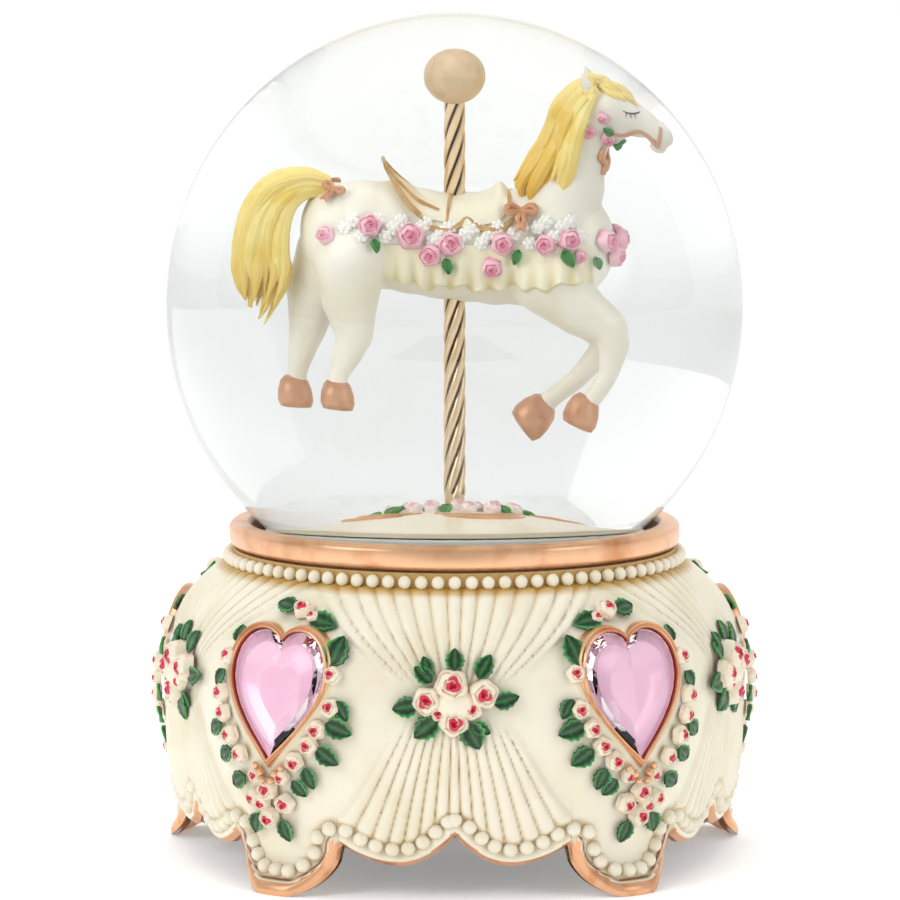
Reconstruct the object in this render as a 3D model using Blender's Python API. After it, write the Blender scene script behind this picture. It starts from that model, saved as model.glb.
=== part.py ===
"""Musical water globe: a glass ball with a turning carousel horse, standing on a cast resin
base that holds a wind-up movement. Metres, +Z up, front towards -Y, the horse faces +X.
The origin is on the table, under the globe's centre."""

import math

import bmesh
import bpy
from mathutils import Matrix, Vector
from mathutils.geometry import interpolate_bezier

MM = 0.001

# --- Driving dimensions -------------------------------------------------------------------
GLOBE_RADIUS = 50.0 * MM
GLOBE_STRETCH = 1.02           # height of the blown ball over its width
GLASS_WALL = 1.6 * MM
NECK_RADIUS = 32.0 * MM        # outer radius of the glass where it is cut open

BASE_RADIUS = 50.4 * MM        # widest part of the cast base, between the lobes
BASE_HEIGHT = 53.7 * MM        # table to the top of the cast base
BASE_WAIST = 25.0 * MM         # height at which the base is widest
FOOT_RADIUS = 47.1 * MM        # radius of the base at its lower edge
LOBE_DEPTH = 0.9 * MM          # how far the hearts stand out and the bouquets stand in
LOBES = 5

GAP = 0.3 * MM                 # between pieces that touch
RUN = 0.1 * MM                 # radial running clearance of a shaft in its bearing

# --- Base ---------------------------------------------------------------------------------
COLLAR_WIDTH = 4.2 * MM
COLLAR_HEIGHT = 4.3 * MM
COLLAR_CLEARANCE = 0.5 * MM    # collar to globe
BEAD_CHANNEL = 2.7 * MM        # height of the plain band that carries the top row of beads
SEAT_DEPTH = 2.5 * MM          # how deep the stopper sits in the base
DECK_THICKNESS = 3.5 * MM
DECK_HOLE = 14.0 * MM          # radius
SKIRT_RADIUS = 43.5 * MM       # inside of the skirt, under the base plate
CAVITY_RADIUS = 38.4 * MM      # the movement's chamber
CAVITY_TOP_RADIUS = 33.0 * MM
PLATE_BOTTOM = 15.9 * MM
PLATE_THICKNESS = 1.5 * MM
SCALLOP_LOW = 5.4 * MM         # lowest point of a scallop
SCALLOP_MID_RISE = 5.2 * MM    # rise to the cusp between two scallops
SCALLOP_FOOT_RISE = 3.5 * MM   # rise to the cusp beside a foot
FOOT_HALF_ANGLE = math.radians(12.6)
FOOT_SCALLOP_ANGLE = math.radians(24.5)
FOOT_FLARE = 2.6 * MM
FOOT_FLARE_HEIGHT = 5.5 * MM
FOOT_FLAT = 0.75 * MM          # depth taken off the foot's round end to make its flat

# --- Heart stones ---------------------------------------------------------------------------
BEZEL_WIDTH = 21.6 * MM
BEZEL_TALL = 24.8 * MM
BEZEL_LIP = 2.0 * MM
BEZEL_BACK = 1.5 * MM
BEZEL_FRONT = 1.5 * MM
HEART_HEIGHT = 33.7 * MM       # centre above the table
HEART_SINK = 1.3 * MM          # setting's middle below the base's surface
HEART_TILT = math.radians(12.0)
GEM_BACK = 1.2 * MM
GEM_TABLE = 1.7 * MM
GEM_TABLE_SHARE = 0.55

# --- Bouquets cast on the base between the hearts ---------------------------------------------
BOUQUET_WIDTH = 17.0 * MM
BOUQUET_TALL = 15.0 * MM
BOUQUET_RISE = 2.9 * MM
BOUQUET_HEIGHT = 34.0 * MM     # centre above the table

# --- Stopper and carousel -------------------------------------------------------------------
STOPPER_FLANGE = 4.2 * MM
STOPPER_PLUG = 4.3 * MM
FLANGE_WIDTH = 1.5 * MM        # flange beyond the glass edge
MAGNET_RADIUS = 7.6 * MM
MAGNET_HEIGHT = 2.7 * MM
WEB_THICKNESS = 1.5 * MM       # rubber left between the two magnets
MOUND_RADIUS = 28.6 * MM
MOUND_RISE = 7.0 * MM
MOUND_EDGE = 0.9 * MM
BUSHING_RADIUS = 2.6 * MM
POLE_RADIUS = 1.3 * MM
POLE_TWIST = 19.6 * MM         # length of one full turn of the twist
POLE_LOBES = 4
BALL_RADIUS = 4.2 * MM
BALL_HEIGHT = 127.0 * MM
BALL_SOCKET = 3.0 * MM

# --- Movement -------------------------------------------------------------------------------
BEDPLATE_THICKNESS = 2.2 * MM
BARREL_RADIUS = 13.0 * MM
BARREL_WALL = 0.8 * MM
BARREL_HEIGHT = 9.1 * MM
BARREL_LIFT = 0.7 * MM         # barrel above the bedplate
ARBOR_RADIUS = 1.75 * MM
ARBOR_HUB = 2.9 * MM
SPINDLE_RADIUS = 1.5 * MM
CROWN_TEETH = 36
PINION_TEETH = 12
CROWN_PITCH_RADIUS = 13.25 * MM
CROWN_FACE = 2.5 * MM
CROWN_PLATE = 1.0 * MM
CROWN_ADDENDUM = 0.7 * MM
CROWN_DEDENDUM = 1.0 * MM
PINION_FACE = 1.1 * MM
SMALL_ARBOR = 0.8 * MM
CYLINDER_RADIUS = 6.4 * MM
CYLINDER_START = 18.9 * MM
NOTES = 18
NOTE_PITCH = 0.81 * MM
PIN_HEIGHT = 0.6 * MM
COMB_THICKNESS = 0.6 * MM
COMB_REACH = 5.1 * MM          # free length of the teeth
COMB_TIP_CLEARANCE = 0.5 * MM
GEAR_START = 15.0 * MM
GEAR_THICKNESS = 1.0 * MM
CYLINDER_TEETH = 30
GOVERNOR_TEETH = 10
GOVERNOR_MODULE = 0.5 * MM
GOVERNOR_ANGLE = math.radians(25.0)
MESH_SLACK = 0.05 * MM         # added to the distance between the spur gears' axes
WORM_TEETH = 16                # teeth on the worm wheel
WORM_PITCH = 1.5 * MM
WORM_RADIUS = 1.6 * MM
WORM_ADDENDUM = 0.4 * MM
WORM_DEDENDUM = 0.6 * MM
WORM_TURNS = 3
WHEEL_THICKNESS = 0.8 * MM
FLY_RADIUS = 3.4 * MM
FLY_HEIGHT = 8.0 * MM

# --- Fasteners and key ----------------------------------------------------------------------
SCREW_RADIUS = 1.0 * MM
SCREW_HEAD_RADIUS = 1.9 * MM
SCREW_HEAD = 0.9 * MM
PLATE_SCREW_CIRCLE = 40.8 * MM
PLATE_SCREW_REACH = 6.0 * MM
KEY_BOSS_RADIUS = 3.4 * MM
KEY_SPAN = 22.0 * MM
KEY_TALL = 9.6 * MM
KEY_THICKNESS = 1.8 * MM
KEY_HOLE_RADIUS = 2.3 * MM
KEY_FLOOR_CLEARANCE = 1.9 * MM

# --- Levels and radii that follow from the above --------------------------------------------
COLLAR_BOTTOM = BASE_HEIGHT + GAP
COLLAR_TOP = COLLAR_BOTTOM + COLLAR_HEIGHT
SEAT_LEVEL = BASE_HEIGHT - SEAT_DEPTH
DECK_BOTTOM = SEAT_LEVEL - DECK_THICKNESS
STOPPER_BOTTOM = SEAT_LEVEL + GAP
FLANGE_TOP = STOPPER_BOTTOM + STOPPER_FLANGE
STOPPER_TOP = FLANGE_TOP + STOPPER_PLUG
GLASS_CUT = FLANGE_TOP + GAP
GLOBE_SEMI_HEIGHT = GLOBE_RADIUS * GLOBE_STRETCH
GLOBE_CENTRE = GLASS_CUT + GLOBE_SEMI_HEIGHT * math.sqrt(1 - (NECK_RADIUS / GLOBE_RADIUS) ** 2)


def globe_radius(height, wall=0.0):
    """Radius of the ball at a height, on its outside or a wall's depth inside."""
    share = (height - GLOBE_CENTRE) / (GLOBE_SEMI_HEIGHT - wall)
    return (GLOBE_RADIUS - wall) * math.sqrt(max(0.0, 1 - share * share))


NECK_BORE = globe_radius(GLASS_CUT, GLASS_WALL)
FLANGE_RADIUS = NECK_RADIUS + FLANGE_WIDTH
SEAT_RADIUS = FLANGE_RADIUS + 2 * GAP
COLLAR_INNER = globe_radius(COLLAR_TOP) + COLLAR_CLEARANCE
COLLAR_OUTER = COLLAR_INNER + COLLAR_WIDTH
NECK_BAND_RADIUS = COLLAR_OUTER - 0.6 * MM
PLATE_TOP = PLATE_BOTTOM + PLATE_THICKNESS
LEDGE_LEVEL = PLATE_TOP + GAP
BEDPLATE_BOTTOM = PLATE_TOP + GAP
BEDPLATE_TOP = BEDPLATE_BOTTOM + BEDPLATE_THICKNESS
BARREL_BOTTOM = BEDPLATE_TOP + BARREL_LIFT
BARREL_TOP = BARREL_BOTTOM + BARREL_HEIGHT
CROWN_BOTTOM = BARREL_TOP + GAP
CROWN_TOP = CROWN_BOTTOM + CROWN_PLATE
PITCH_PLANE = CROWN_TOP + CROWN_DEDENDUM
PINION_PITCH_RADIUS = CROWN_PITCH_RADIUS * PINION_TEETH / CROWN_TEETH
CYLINDER_AXIS = PITCH_PLANE + PINION_PITCH_RADIUS
CYLINDER_LENGTH = NOTES * NOTE_PITCH
CYLINDER_END = CYLINDER_START + CYLINDER_LENGTH
GOVERNOR_DISTANCE = (CYLINDER_TEETH + GOVERNOR_TEETH) * GOVERNOR_MODULE / 2 + MESH_SLACK
GOVERNOR_Y = -GOVERNOR_DISTANCE * math.cos(GOVERNOR_ANGLE)
GOVERNOR_Z = CYLINDER_AXIS + GOVERNOR_DISTANCE * math.sin(GOVERNOR_ANGLE)
WHEEL_PITCH_RADIUS = WORM_TEETH * WORM_PITCH / (2 * math.pi)
WHEEL_START = GEAR_START - GEAR_THICKNESS - WHEEL_THICKNESS - 0.6 * MM
WORM_X = WHEEL_START + WHEEL_THICKNESS / 2
WORM_Y = GOVERNOR_Y - WHEEL_PITCH_RADIUS - WORM_RADIUS
BUSHING_BORE = POLE_RADIUS + RUN
CARRIER_TOP = SEAT_LEVEL - 1.0 * MM
CARRIER_HEIGHT = 2.6 * MM
CARRIER_RADIUS = MAGNET_RADIUS + 1.4 * MM
DRIVE_MAGNET_BOTTOM = CARRIER_TOP + GAP
LOWER_RECESS_TOP = DRIVE_MAGNET_BOTTOM + MAGNET_HEIGHT + 3 * GAP
UPPER_RECESS_BOTTOM = LOWER_RECESS_TOP + WEB_THICKNESS
DRIVEN_MAGNET_BOTTOM = UPPER_RECESS_BOTTOM + 2 * GAP
RECESS_RADIUS = MAGNET_RADIUS + 4 * GAP
MOUND_BOTTOM = STOPPER_TOP + GAP
MOUND_TOP = MOUND_BOTTOM + MOUND_EDGE + MOUND_RISE
COMB_ROOT_Y = CYLINDER_RADIUS + PIN_HEIGHT + COMB_TIP_CLEARANCE + COMB_REACH
BRACKET_THICKNESS = 1.5 * MM
INNER_BRACKET_X = GEAR_START + GEAR_THICKNESS + 0.7 * MM
OUTER_BRACKET_X = CYLINDER_END + 0.9 * MM
COMB_BLOCK_DEPTH = 4.6 * MM
COMB_SCREWS = (CYLINDER_START + 0.25 * CYLINDER_LENGTH, CYLINDER_START + 0.75 * CYLINDER_LENGTH)
MOVEMENT_SCREWS = ((-11.5 * MM, -11.5 * MM), (29.0 * MM, -9.0 * MM), (8.0 * MM, 15.5 * MM))
PLATE_SCREW_ANGLES = (30.0, 150.0, 270.0)

ROUND = 36                     # segments round a large turned piece
SMALL_ROUND = 16               # segments round a small turned piece

# --- Finishes: sRGB hex, roughness, metallic --------------------------------------------------
RESIN = ("cast_resin", "EFE7D2", 0.35, 0.0)
COPPER = ("copper_paint", "D9A27A", 0.32, 0.8)
STONE = ("pink_acrylic", "F0CFE2", 0.05, 0.0)
GLASS = ("globe_glass", "E6E9E8", 0.03, 0.0)
RUBBER = ("grey_rubber", "8E8C86", 0.7, 0.0)
HORSE = ("painted_figure_resin", "F2EDDC", 0.4, 0.0)
GILT = ("gilt_metal", "DDB98C", 0.3, 0.9)
BRASS = ("brass", "C8A04E", 0.28, 1.0)
STEEL = ("spring_steel", "8C9096", 0.3, 1.0)
ZINC = ("die_cast_zinc", "A9ABAC", 0.45, 0.9)
MAGNET = ("nickel_magnet", "B9BABC", 0.25, 1.0)
PLASTIC = ("acetal", "E9E7E0", 0.45, 0.0)
BOARD = ("black_plate", "2B2B2C", 0.6, 0.0)


# --- Helpers ----------------------------------------------------------------------------------
def linear(channel):
    return channel / 12.92 if channel <= 0.04045 else ((channel + 0.055) / 1.055) ** 2.4


def material(finish):
    name, hex_colour, roughness, metallic = finish
    found = bpy.data.materials.get(name)
    if found:
        return found
    made = bpy.data.materials.new(name)
    made.use_nodes = True
    shader = made.node_tree.nodes["Principled BSDF"]
    rgb = [linear(int(hex_colour[i:i + 2], 16) / 255) for i in (0, 2, 4)]
    shader.inputs["Base Color"].default_value = (*rgb, 1.0)
    shader.inputs["Roughness"].default_value = roughness
    shader.inputs["Metallic"].default_value = metallic
    return made


def axis_empty(name, place=(0, 0, 0), along="Z"):
    """An empty on a turning axis; its own +Z points along the axis."""
    empty = bpy.data.objects.new(name, None)
    empty.location = place
    if along == "X":
        empty.rotation_euler = (0, math.pi / 2, 0)
    empty.empty_display_size = 0.01
    bpy.context.scene.collection.objects.link(empty)
    return empty


def place_mesh(name, bm, finish, parent=None):
    """Turn a bmesh into a named object with its material, faces out and smooth shaded."""
    bmesh.ops.recalc_face_normals(bm, faces=bm.faces)
    mesh = bpy.data.meshes.new(name)
    bm.to_mesh(mesh)
    bm.free()
    mesh.shade_smooth()
    mesh.set_sharp_from_angle(angle=math.radians(35))
    mesh.materials.append(material(finish))
    made = bpy.data.objects.new(name, mesh)
    bpy.context.scene.collection.objects.link(made)
    made.parent = parent
    return made


def tool(name, bm, parent=None):
    """A hidden solid that another piece is cut by or joined to."""
    made = place_mesh(name, bm, ZINC, parent)
    made.hide_render = True
    made.display_type = "WIRE"
    return made


def boolean(target, other, operation):
    modifier = target.modifiers.new(operation.lower() + "_" + other.name, "BOOLEAN")
    modifier.operation = operation
    modifier.solver = "EXACT"
    modifier.object = other


def turned_bm(outline, segments, centre=(0.0, 0.0)):
    """Spin an outline of (radius, height) points. One that starts and ends off the axis is a ring."""
    bm = bmesh.new()
    verts = [bm.verts.new((radius, 0, height)) for radius, height in outline]
    edges = [bm.edges.new(pair) for pair in zip(verts, verts[1:])]
    if outline[0][0] > 0 or outline[-1][0] > 0:
        edges.append(bm.edges.new((verts[-1], verts[0])))
    bmesh.ops.spin(bm, geom=verts + edges, cent=(0, 0, 0), axis=(0, 0, 1), dvec=(0, 0, 0),
                   angle=2 * math.pi, steps=segments, use_merge=True)
    bmesh.ops.remove_doubles(bm, verts=bm.verts, dist=1e-7)
    bmesh.ops.translate(bm, verts=bm.verts, vec=(centre[0], centre[1], 0))
    return bm


def tube_outline(inner, outer, low, high):
    return [(inner, low), (outer, low), (outer, high), (inner, high)]


def rod_outline(radius, low, high):
    return [(0, low), (radius, low), (radius, high), (0, high)]


def prism_bm(outline, low, high):
    """Extrude a flat outline of (x, y) points from one height to another."""
    bm = bmesh.new()
    face = bm.faces.new([bm.verts.new((x, y, low)) for x, y in outline])
    grown = bmesh.ops.extrude_face_region(bm, geom=[face])["geom"]
    moved = [item for item in grown if isinstance(item, bmesh.types.BMVert)]
    bmesh.ops.translate(bm, verts=moved, vec=(0, 0, high - low))
    return bm


def box_bm(low, high):
    bm = bmesh.new()
    size = [b - a for a, b in zip(low, high)]
    middle = [(a + b) / 2 for a, b in zip(low, high)]
    placing = Matrix.Translation(middle) @ Matrix.Diagonal((*size, 1))
    bmesh.ops.create_cube(bm, size=1.0, matrix=placing)
    return bm


def drill(target, centre, radius, low, high, along="Z", parent=None):
    """Cut a round hole through a piece, along Z or X, in the parent's frame."""
    bm = turned_bm(rod_outline(radius, low, high), 16)
    if along == "X":
        bmesh.ops.rotate(bm, verts=bm.verts, cent=(0, 0, 0), matrix=Matrix.Rotation(math.pi / 2, 3, "Y"))
    bmesh.ops.translate(bm, verts=bm.verts, vec=centre)
    count = len(target.modifiers)
    boolean(target, tool(f"{target.name}_drill_{count}", bm, parent), "DIFFERENCE")


def gear_outline(teeth, tip, root, root_share, tip_share, phase):
    """Straight-flanked teeth, one of them centred on the phase angle."""
    pitch = 2 * math.pi / teeth
    points = []
    for number in range(teeth):
        middle = phase + number * pitch
        corners = ((root, -root_share), (tip, -tip_share), (tip, tip_share), (root, root_share))
        for radius, share in corners:
            angle = middle + share * pitch / 2
            points.append((radius * math.cos(angle), radius * math.sin(angle)))
    return points


def screw_outline(reach):
    """Head below zero, shank above it; the point of the shank is at the reach."""
    return [(0, -SCREW_HEAD), (SCREW_HEAD_RADIUS * 0.8, -SCREW_HEAD),
            (SCREW_HEAD_RADIUS, -SCREW_HEAD * 0.4),
            (SCREW_HEAD_RADIUS, 0), (SCREW_RADIUS, 0), (SCREW_RADIUS, reach - SCREW_RADIUS),
            (0, reach)]


def screw(name, place, reach, head_down=True):
    """A pan-head screw whose head bears on the given point."""
    bm = turned_bm(screw_outline(reach), 12)
    if not head_down:
        bmesh.ops.rotate(bm, verts=bm.verts, cent=(0, 0, 0), matrix=Matrix.Rotation(math.pi, 3, "X"))
    bmesh.ops.translate(bm, verts=bm.verts, vec=place)
    return place_mesh(name, bm, STEEL)


# --- Base -------------------------------------------------------------------------------------
def from_heart(angle):
    """Signed angle from the nearest heart, where angle is measured from the front."""
    step = 2 * math.pi / LOBES
    return (angle + step / 2) % step - step / 2


def edge_height(angle):
    """Height of the base's lower edge: a round foot under each heart, two scallops between."""
    away = abs(from_heart(angle))
    if away < FOOT_HALF_ANGLE:
        height = SCALLOP_LOW + SCALLOP_FOOT_RISE
        share = away / FOOT_HALF_ANGLE
        return max(0.0, (height + FOOT_FLAT) * (1 - math.sqrt(1 - share * share)) - FOOT_FLAT)
    offset = away - FOOT_SCALLOP_ANGLE
    if offset > 0:
        return SCALLOP_LOW + SCALLOP_MID_RISE * (offset / (math.pi / LOBES - FOOT_SCALLOP_ANGLE)) ** 2
    return SCALLOP_LOW + SCALLOP_FOOT_RISE * (offset / (FOOT_SCALLOP_ANGLE - FOOT_HALF_ANGLE)) ** 2


SHOULDER_LEVEL = BASE_HEIGHT - BEAD_CHANNEL


def base_radius(angle, height):
    """Outer radius of the cast base. The angle is measured from a heart's middle."""
    if height >= BASE_WAIST:
        share = (height - BASE_WAIST) / (SHOULDER_LEVEL + 0.5 * MM - BASE_WAIST)
        radius = NECK_BAND_RADIUS + (BASE_RADIUS - NECK_BAND_RADIUS) * (1 - share ** 3.2)
        lobing = max(0.0, 1 - share ** 2)
    else:
        share = (BASE_WAIST - height) / (BASE_WAIST - 6.0 * MM)
        radius = BASE_RADIUS - (BASE_RADIUS - FOOT_RADIUS) * min(share, 1.0) ** 1.2
        lobing = 1.0
    radius += LOBE_DEPTH * lobing * math.cos(LOBES * angle)
    away = abs(from_heart(angle)) / FOOT_HALF_ANGLE
    if height < FOOT_FLARE_HEIGHT and away < 1.1:
        radius += FOOT_FLARE * (1 - height / FOOT_FLARE_HEIGHT) ** 2
    return radius


def around(angle, radius, height):
    """A point on the base. Hearts are at whole fifths of a turn from the back of the base."""
    turn = angle + math.pi / 2
    return (radius * math.cos(turn), radius * math.sin(turn), height)


def make_base_shell():
    """The casting: lobed outside, five feet, scalloped edge, and a stepped hollow for the works."""
    columns = 16 * LOBES
    bm = bmesh.new()
    rings = []
    for share in (0.0, 0.1, 0.24, 0.42, 0.6, 0.76, 0.88, 0.96, 1.0):
        ring = []
        for column in range(columns):
            angle = 2 * math.pi * column / columns
            height = edge_height(angle) + share * (SHOULDER_LEVEL - edge_height(angle))
            ring.append(bm.verts.new(around(angle, base_radius(angle, height), height)))
        rings.append(ring)
    inside = ((NECK_BAND_RADIUS, SHOULDER_LEVEL + 0.4 * MM), (NECK_BAND_RADIUS, BASE_HEIGHT),
              (SEAT_RADIUS, BASE_HEIGHT), (SEAT_RADIUS, SEAT_LEVEL), (DECK_HOLE, SEAT_LEVEL),
              (DECK_HOLE, DECK_BOTTOM), (CAVITY_TOP_RADIUS, DECK_BOTTOM),
              (CAVITY_RADIUS, DECK_BOTTOM - 6.0 * MM), (CAVITY_RADIUS, LEDGE_LEVEL),
              (SKIRT_RADIUS, LEDGE_LEVEL), (SKIRT_RADIUS, None))
    for radius, height in inside:
        ring = []
        for column in range(columns):
            angle = 2 * math.pi * column / columns
            level = edge_height(angle) if height is None else height
            ring.append(bm.verts.new(around(angle, radius, level)))
        rings.append(ring)
    for lower, upper in zip(rings, rings[1:] + rings[:1]):
        for column in range(columns):
            after = (column + 1) % columns
            bm.faces.new((lower[column], lower[after], upper[after], upper[column]))
    shell = place_mesh("base_shell", bm, RESIN)
    for number, degrees in enumerate(PLATE_SCREW_ANGLES):
        angle = math.radians(degrees)
        centre = (PLATE_SCREW_CIRCLE * math.cos(angle), PLATE_SCREW_CIRCLE * math.sin(angle), 0)
        top = PLATE_BOTTOM + PLATE_SCREW_REACH + 1.0 * MM
        drill(shell, centre, SCREW_RADIUS + GAP, PLATE_TOP, top)
    return shell


def make_bouquets(shell):
    """The low mounds of the five bouquets, in one piece with the casting."""
    for number in range(LOBES):
        angle = (number + 0.5) * 2 * math.pi / LOBES
        centre = around(angle, base_radius(angle, BOUQUET_HEIGHT), BOUQUET_HEIGHT)
        sizes = (BOUQUET_RISE, BOUQUET_WIDTH / 2, BOUQUET_TALL / 2, 1)
        turn = Matrix.Rotation(angle + math.pi / 2, 4, "Z")
        bm = bmesh.new()
        bmesh.ops.create_icosphere(bm, subdivisions=3, radius=1.0,
                                   matrix=Matrix.Translation(centre) @ turn @ Matrix.Diagonal(sizes))
        boolean(shell, tool(f"bouquet_{number + 1}", bm), "UNION")


def make_collar():
    """The rounded copper-painted ring round the globe's neck."""
    low, high = COLLAR_BOTTOM, COLLAR_TOP
    soft = 0.9 * MM
    outline = [(COLLAR_INNER, low), (COLLAR_OUTER - soft, low), (COLLAR_OUTER, low + soft),
               (COLLAR_OUTER, high - 1.3 * soft), (COLLAR_OUTER - soft, high - 0.2 * soft),
               (COLLAR_OUTER - 2.2 * soft, high), (COLLAR_INNER + 0.4 * soft, high - 0.5 * soft),
               (COLLAR_INNER, high - 1.3 * soft)]
    return place_mesh("globe_collar", turned_bm(outline, ROUND), COPPER)


def heart_outline(width, height, points=6):
    """Heart with a shallow cleft: two curves down one side, mirrored for the other."""
    cleft, side, tip = Vector((0, 0.405)), Vector((0.5, 0.17)), Vector((0, -0.5))
    over = interpolate_bezier(cleft, Vector((0.13, 0.56)), Vector((0.5, 0.5)), side, points + 1)
    down = interpolate_bezier(side, Vector((0.5, -0.1)), Vector((0.15, -0.36)), tip, points + 1)
    right = [(point[0] * width, point[1] * height) for point in over[:-1] + down]
    left = [(-x, y) for x, y in reversed(right[1:-1])]
    return right + left


def heart_frame(number):
    """Placing matrix of a heart: X across, Y up the base, Z out of it."""
    turn = 2 * math.pi * number / LOBES + math.pi / 2
    outward = Vector((math.cos(turn), math.sin(turn), 0))
    up = Vector((0, 0, 1)) * math.cos(HEART_TILT) - outward * math.sin(HEART_TILT)
    facing = outward * math.cos(HEART_TILT) + Vector((0, 0, 1)) * math.sin(HEART_TILT)
    across = up.cross(facing)
    centre = outward * (base_radius(0.0, HEART_HEIGHT) - HEART_SINK) + Vector((0, 0, HEART_HEIGHT))
    return Matrix.Translation(centre) @ Matrix((across, up, facing)).transposed().to_4x4()


def grown_heart(margin):
    """The stone's outline with a margin all round."""
    lip = BEZEL_LIP + GAP
    return heart_outline(BEZEL_WIDTH - 2 * lip + 2 * margin, BEZEL_TALL - 2.4 * lip + 2.2 * margin)


def bridged_bm(rings):
    """Join rings of equal point counts into a closed ring-shaped solid."""
    bm = bmesh.new()
    made = [[bm.verts.new(point) for point in ring] for ring in rings]
    count = len(made[0])
    for lower, upper in zip(made, made[1:] + made[:1]):
        for index in range(count):
            after = (index + 1) % count
            bm.faces.new((lower[index], lower[after], upper[after], upper[index]))
    return bm


def make_hearts(shell):
    """Five stones in their copper settings, each in a flat-floored pocket of the base."""
    outer = heart_outline(BEZEL_WIDTH, BEZEL_TALL)
    crest = grown_heart(BEZEL_LIP * 0.55)
    inner = grown_heart(GAP)
    stone = grown_heart(0.0)
    for number in range(LOBES):
        frame = heart_frame(number)
        loose_fit = heart_outline(BEZEL_WIDTH + 2 * GAP, BEZEL_TALL + 3 * GAP)
        pocket = prism_bm(loose_fit, -BEZEL_BACK - GAP, 6 * MM)
        pocket.transform(frame)
        boolean(shell, tool(f"heart_pocket_{number + 1}", pocket), "DIFFERENCE")
        rings = [[(x, y, -BEZEL_BACK) for x, y in outer], [(x, y, BEZEL_FRONT * 0.3) for x, y in outer],
                 [(x, y, BEZEL_FRONT) for x, y in crest], [(x, y, BEZEL_FRONT * 0.3) for x, y in inner],
                 [(x, y, -BEZEL_BACK) for x, y in inner]]
        bezel = bridged_bm(rings)
        bezel.transform(frame)
        place_mesh(f"heart_bezel_{number + 1}", bezel, COPPER)
        gem = prism_bm(stone, -GEM_BACK, 0.0)
        top = max(gem.faces, key=lambda face: face.calc_center_median().z)
        crown = bmesh.ops.extrude_face_region(gem, geom=[top])["geom"]
        moved = [item for item in crown if isinstance(item, bmesh.types.BMVert)]
        bmesh.ops.delete(gem, geom=[top], context="FACES_ONLY")
        bmesh.ops.scale(gem, verts=moved, vec=(GEM_TABLE_SHARE, GEM_TABLE_SHARE, 1))
        bmesh.ops.translate(gem, verts=moved, vec=(0, 0, GEM_TABLE))
        gem.transform(frame)
        place_mesh(f"heart_gem_{number + 1}", gem, STONE)


def make_base_plate():
    """The plate that closes the base from below, with its screws and the movement's screws."""
    plate = place_mesh("base_plate", turned_bm(tube_outline(ARBOR_RADIUS + 2.6 * MM, SKIRT_RADIUS - GAP,
                                                            PLATE_BOTTOM, PLATE_TOP), ROUND), BOARD)
    low, high = PLATE_BOTTOM - 1.0 * MM, PLATE_TOP + 1.0 * MM
    for number, degrees in enumerate(PLATE_SCREW_ANGLES):
        angle = math.radians(degrees)
        centre = (PLATE_SCREW_CIRCLE * math.cos(angle), PLATE_SCREW_CIRCLE * math.sin(angle), 0)
        drill(plate, centre, SCREW_RADIUS + GAP, low, high)
        place = (centre[0], centre[1], PLATE_BOTTOM - GAP)
        screw(f"base_plate_screw_{number + 1}", place, PLATE_SCREW_REACH)
    for number, (x, y) in enumerate(MOVEMENT_SCREWS):
        drill(plate, (x, y, 0), SCREW_RADIUS + GAP, low, high)
        reach = BEDPLATE_TOP - PLATE_BOTTOM - 2 * GAP
        screw(f"movement_screw_{number + 1}", (x, y, PLATE_BOTTOM - GAP), reach)


# --- Globe ------------------------------------------------------------------------------------
def make_globe():
    """The blown ball, cut open at the neck."""
    steps = 10
    start = math.acos(NECK_RADIUS / GLOBE_RADIUS)
    outline = []
    for wall in (0.0, GLASS_WALL):
        radius, tall = GLOBE_RADIUS - wall, GLOBE_SEMI_HEIGHT - wall
        low = -math.asin((GLOBE_CENTRE - GLASS_CUT) / tall) if wall else -start
        arc = [low + (math.pi / 2 - low) * step / steps for step in range(steps + 1)]
        side = [(radius * math.cos(angle), GLOBE_CENTRE + tall * math.sin(angle)) for angle in arc]
        side[-1] = (0.0, side[-1][1])
        outline += side if not wall else list(reversed(side))
    bm = bmesh.new()
    verts = [bm.verts.new((radius, 0, height)) for radius, height in outline]
    edges = [bm.edges.new(pair) for pair in zip(verts[:steps + 1], verts[1:steps + 1])]
    edges += [bm.edges.new(pair) for pair in zip(verts[steps + 1:], verts[steps + 2:])]
    edges.append(bm.edges.new((verts[-1], verts[0])))
    bmesh.ops.spin(bm, geom=verts + edges, cent=(0, 0, 0), axis=(0, 0, 1), dvec=(0, 0, 0),
                   angle=2 * math.pi, steps=ROUND, use_merge=True)
    bmesh.ops.remove_doubles(bm, verts=bm.verts, dist=1e-7)
    return place_mesh("globe_glass", bm, GLASS)


def make_stopper():
    """The rubber plug, recessed on both sides for the magnets."""
    plug = NECK_BORE - GAP
    outline = [(0, LOWER_RECESS_TOP), (RECESS_RADIUS + 0.8 * MM, LOWER_RECESS_TOP),
               (RECESS_RADIUS + 0.8 * MM, STOPPER_BOTTOM), (FLANGE_RADIUS, STOPPER_BOTTOM),
               (FLANGE_RADIUS, FLANGE_TOP), (plug, FLANGE_TOP), (plug, STOPPER_TOP - 0.6 * MM),
               (plug - 0.6 * MM, STOPPER_TOP), (RECESS_RADIUS, STOPPER_TOP),
               (RECESS_RADIUS, UPPER_RECESS_BOTTOM), (0, UPPER_RECESS_BOTTOM)]
    return place_mesh("globe_stopper", turned_bm(outline, ROUND), RUBBER)


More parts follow.
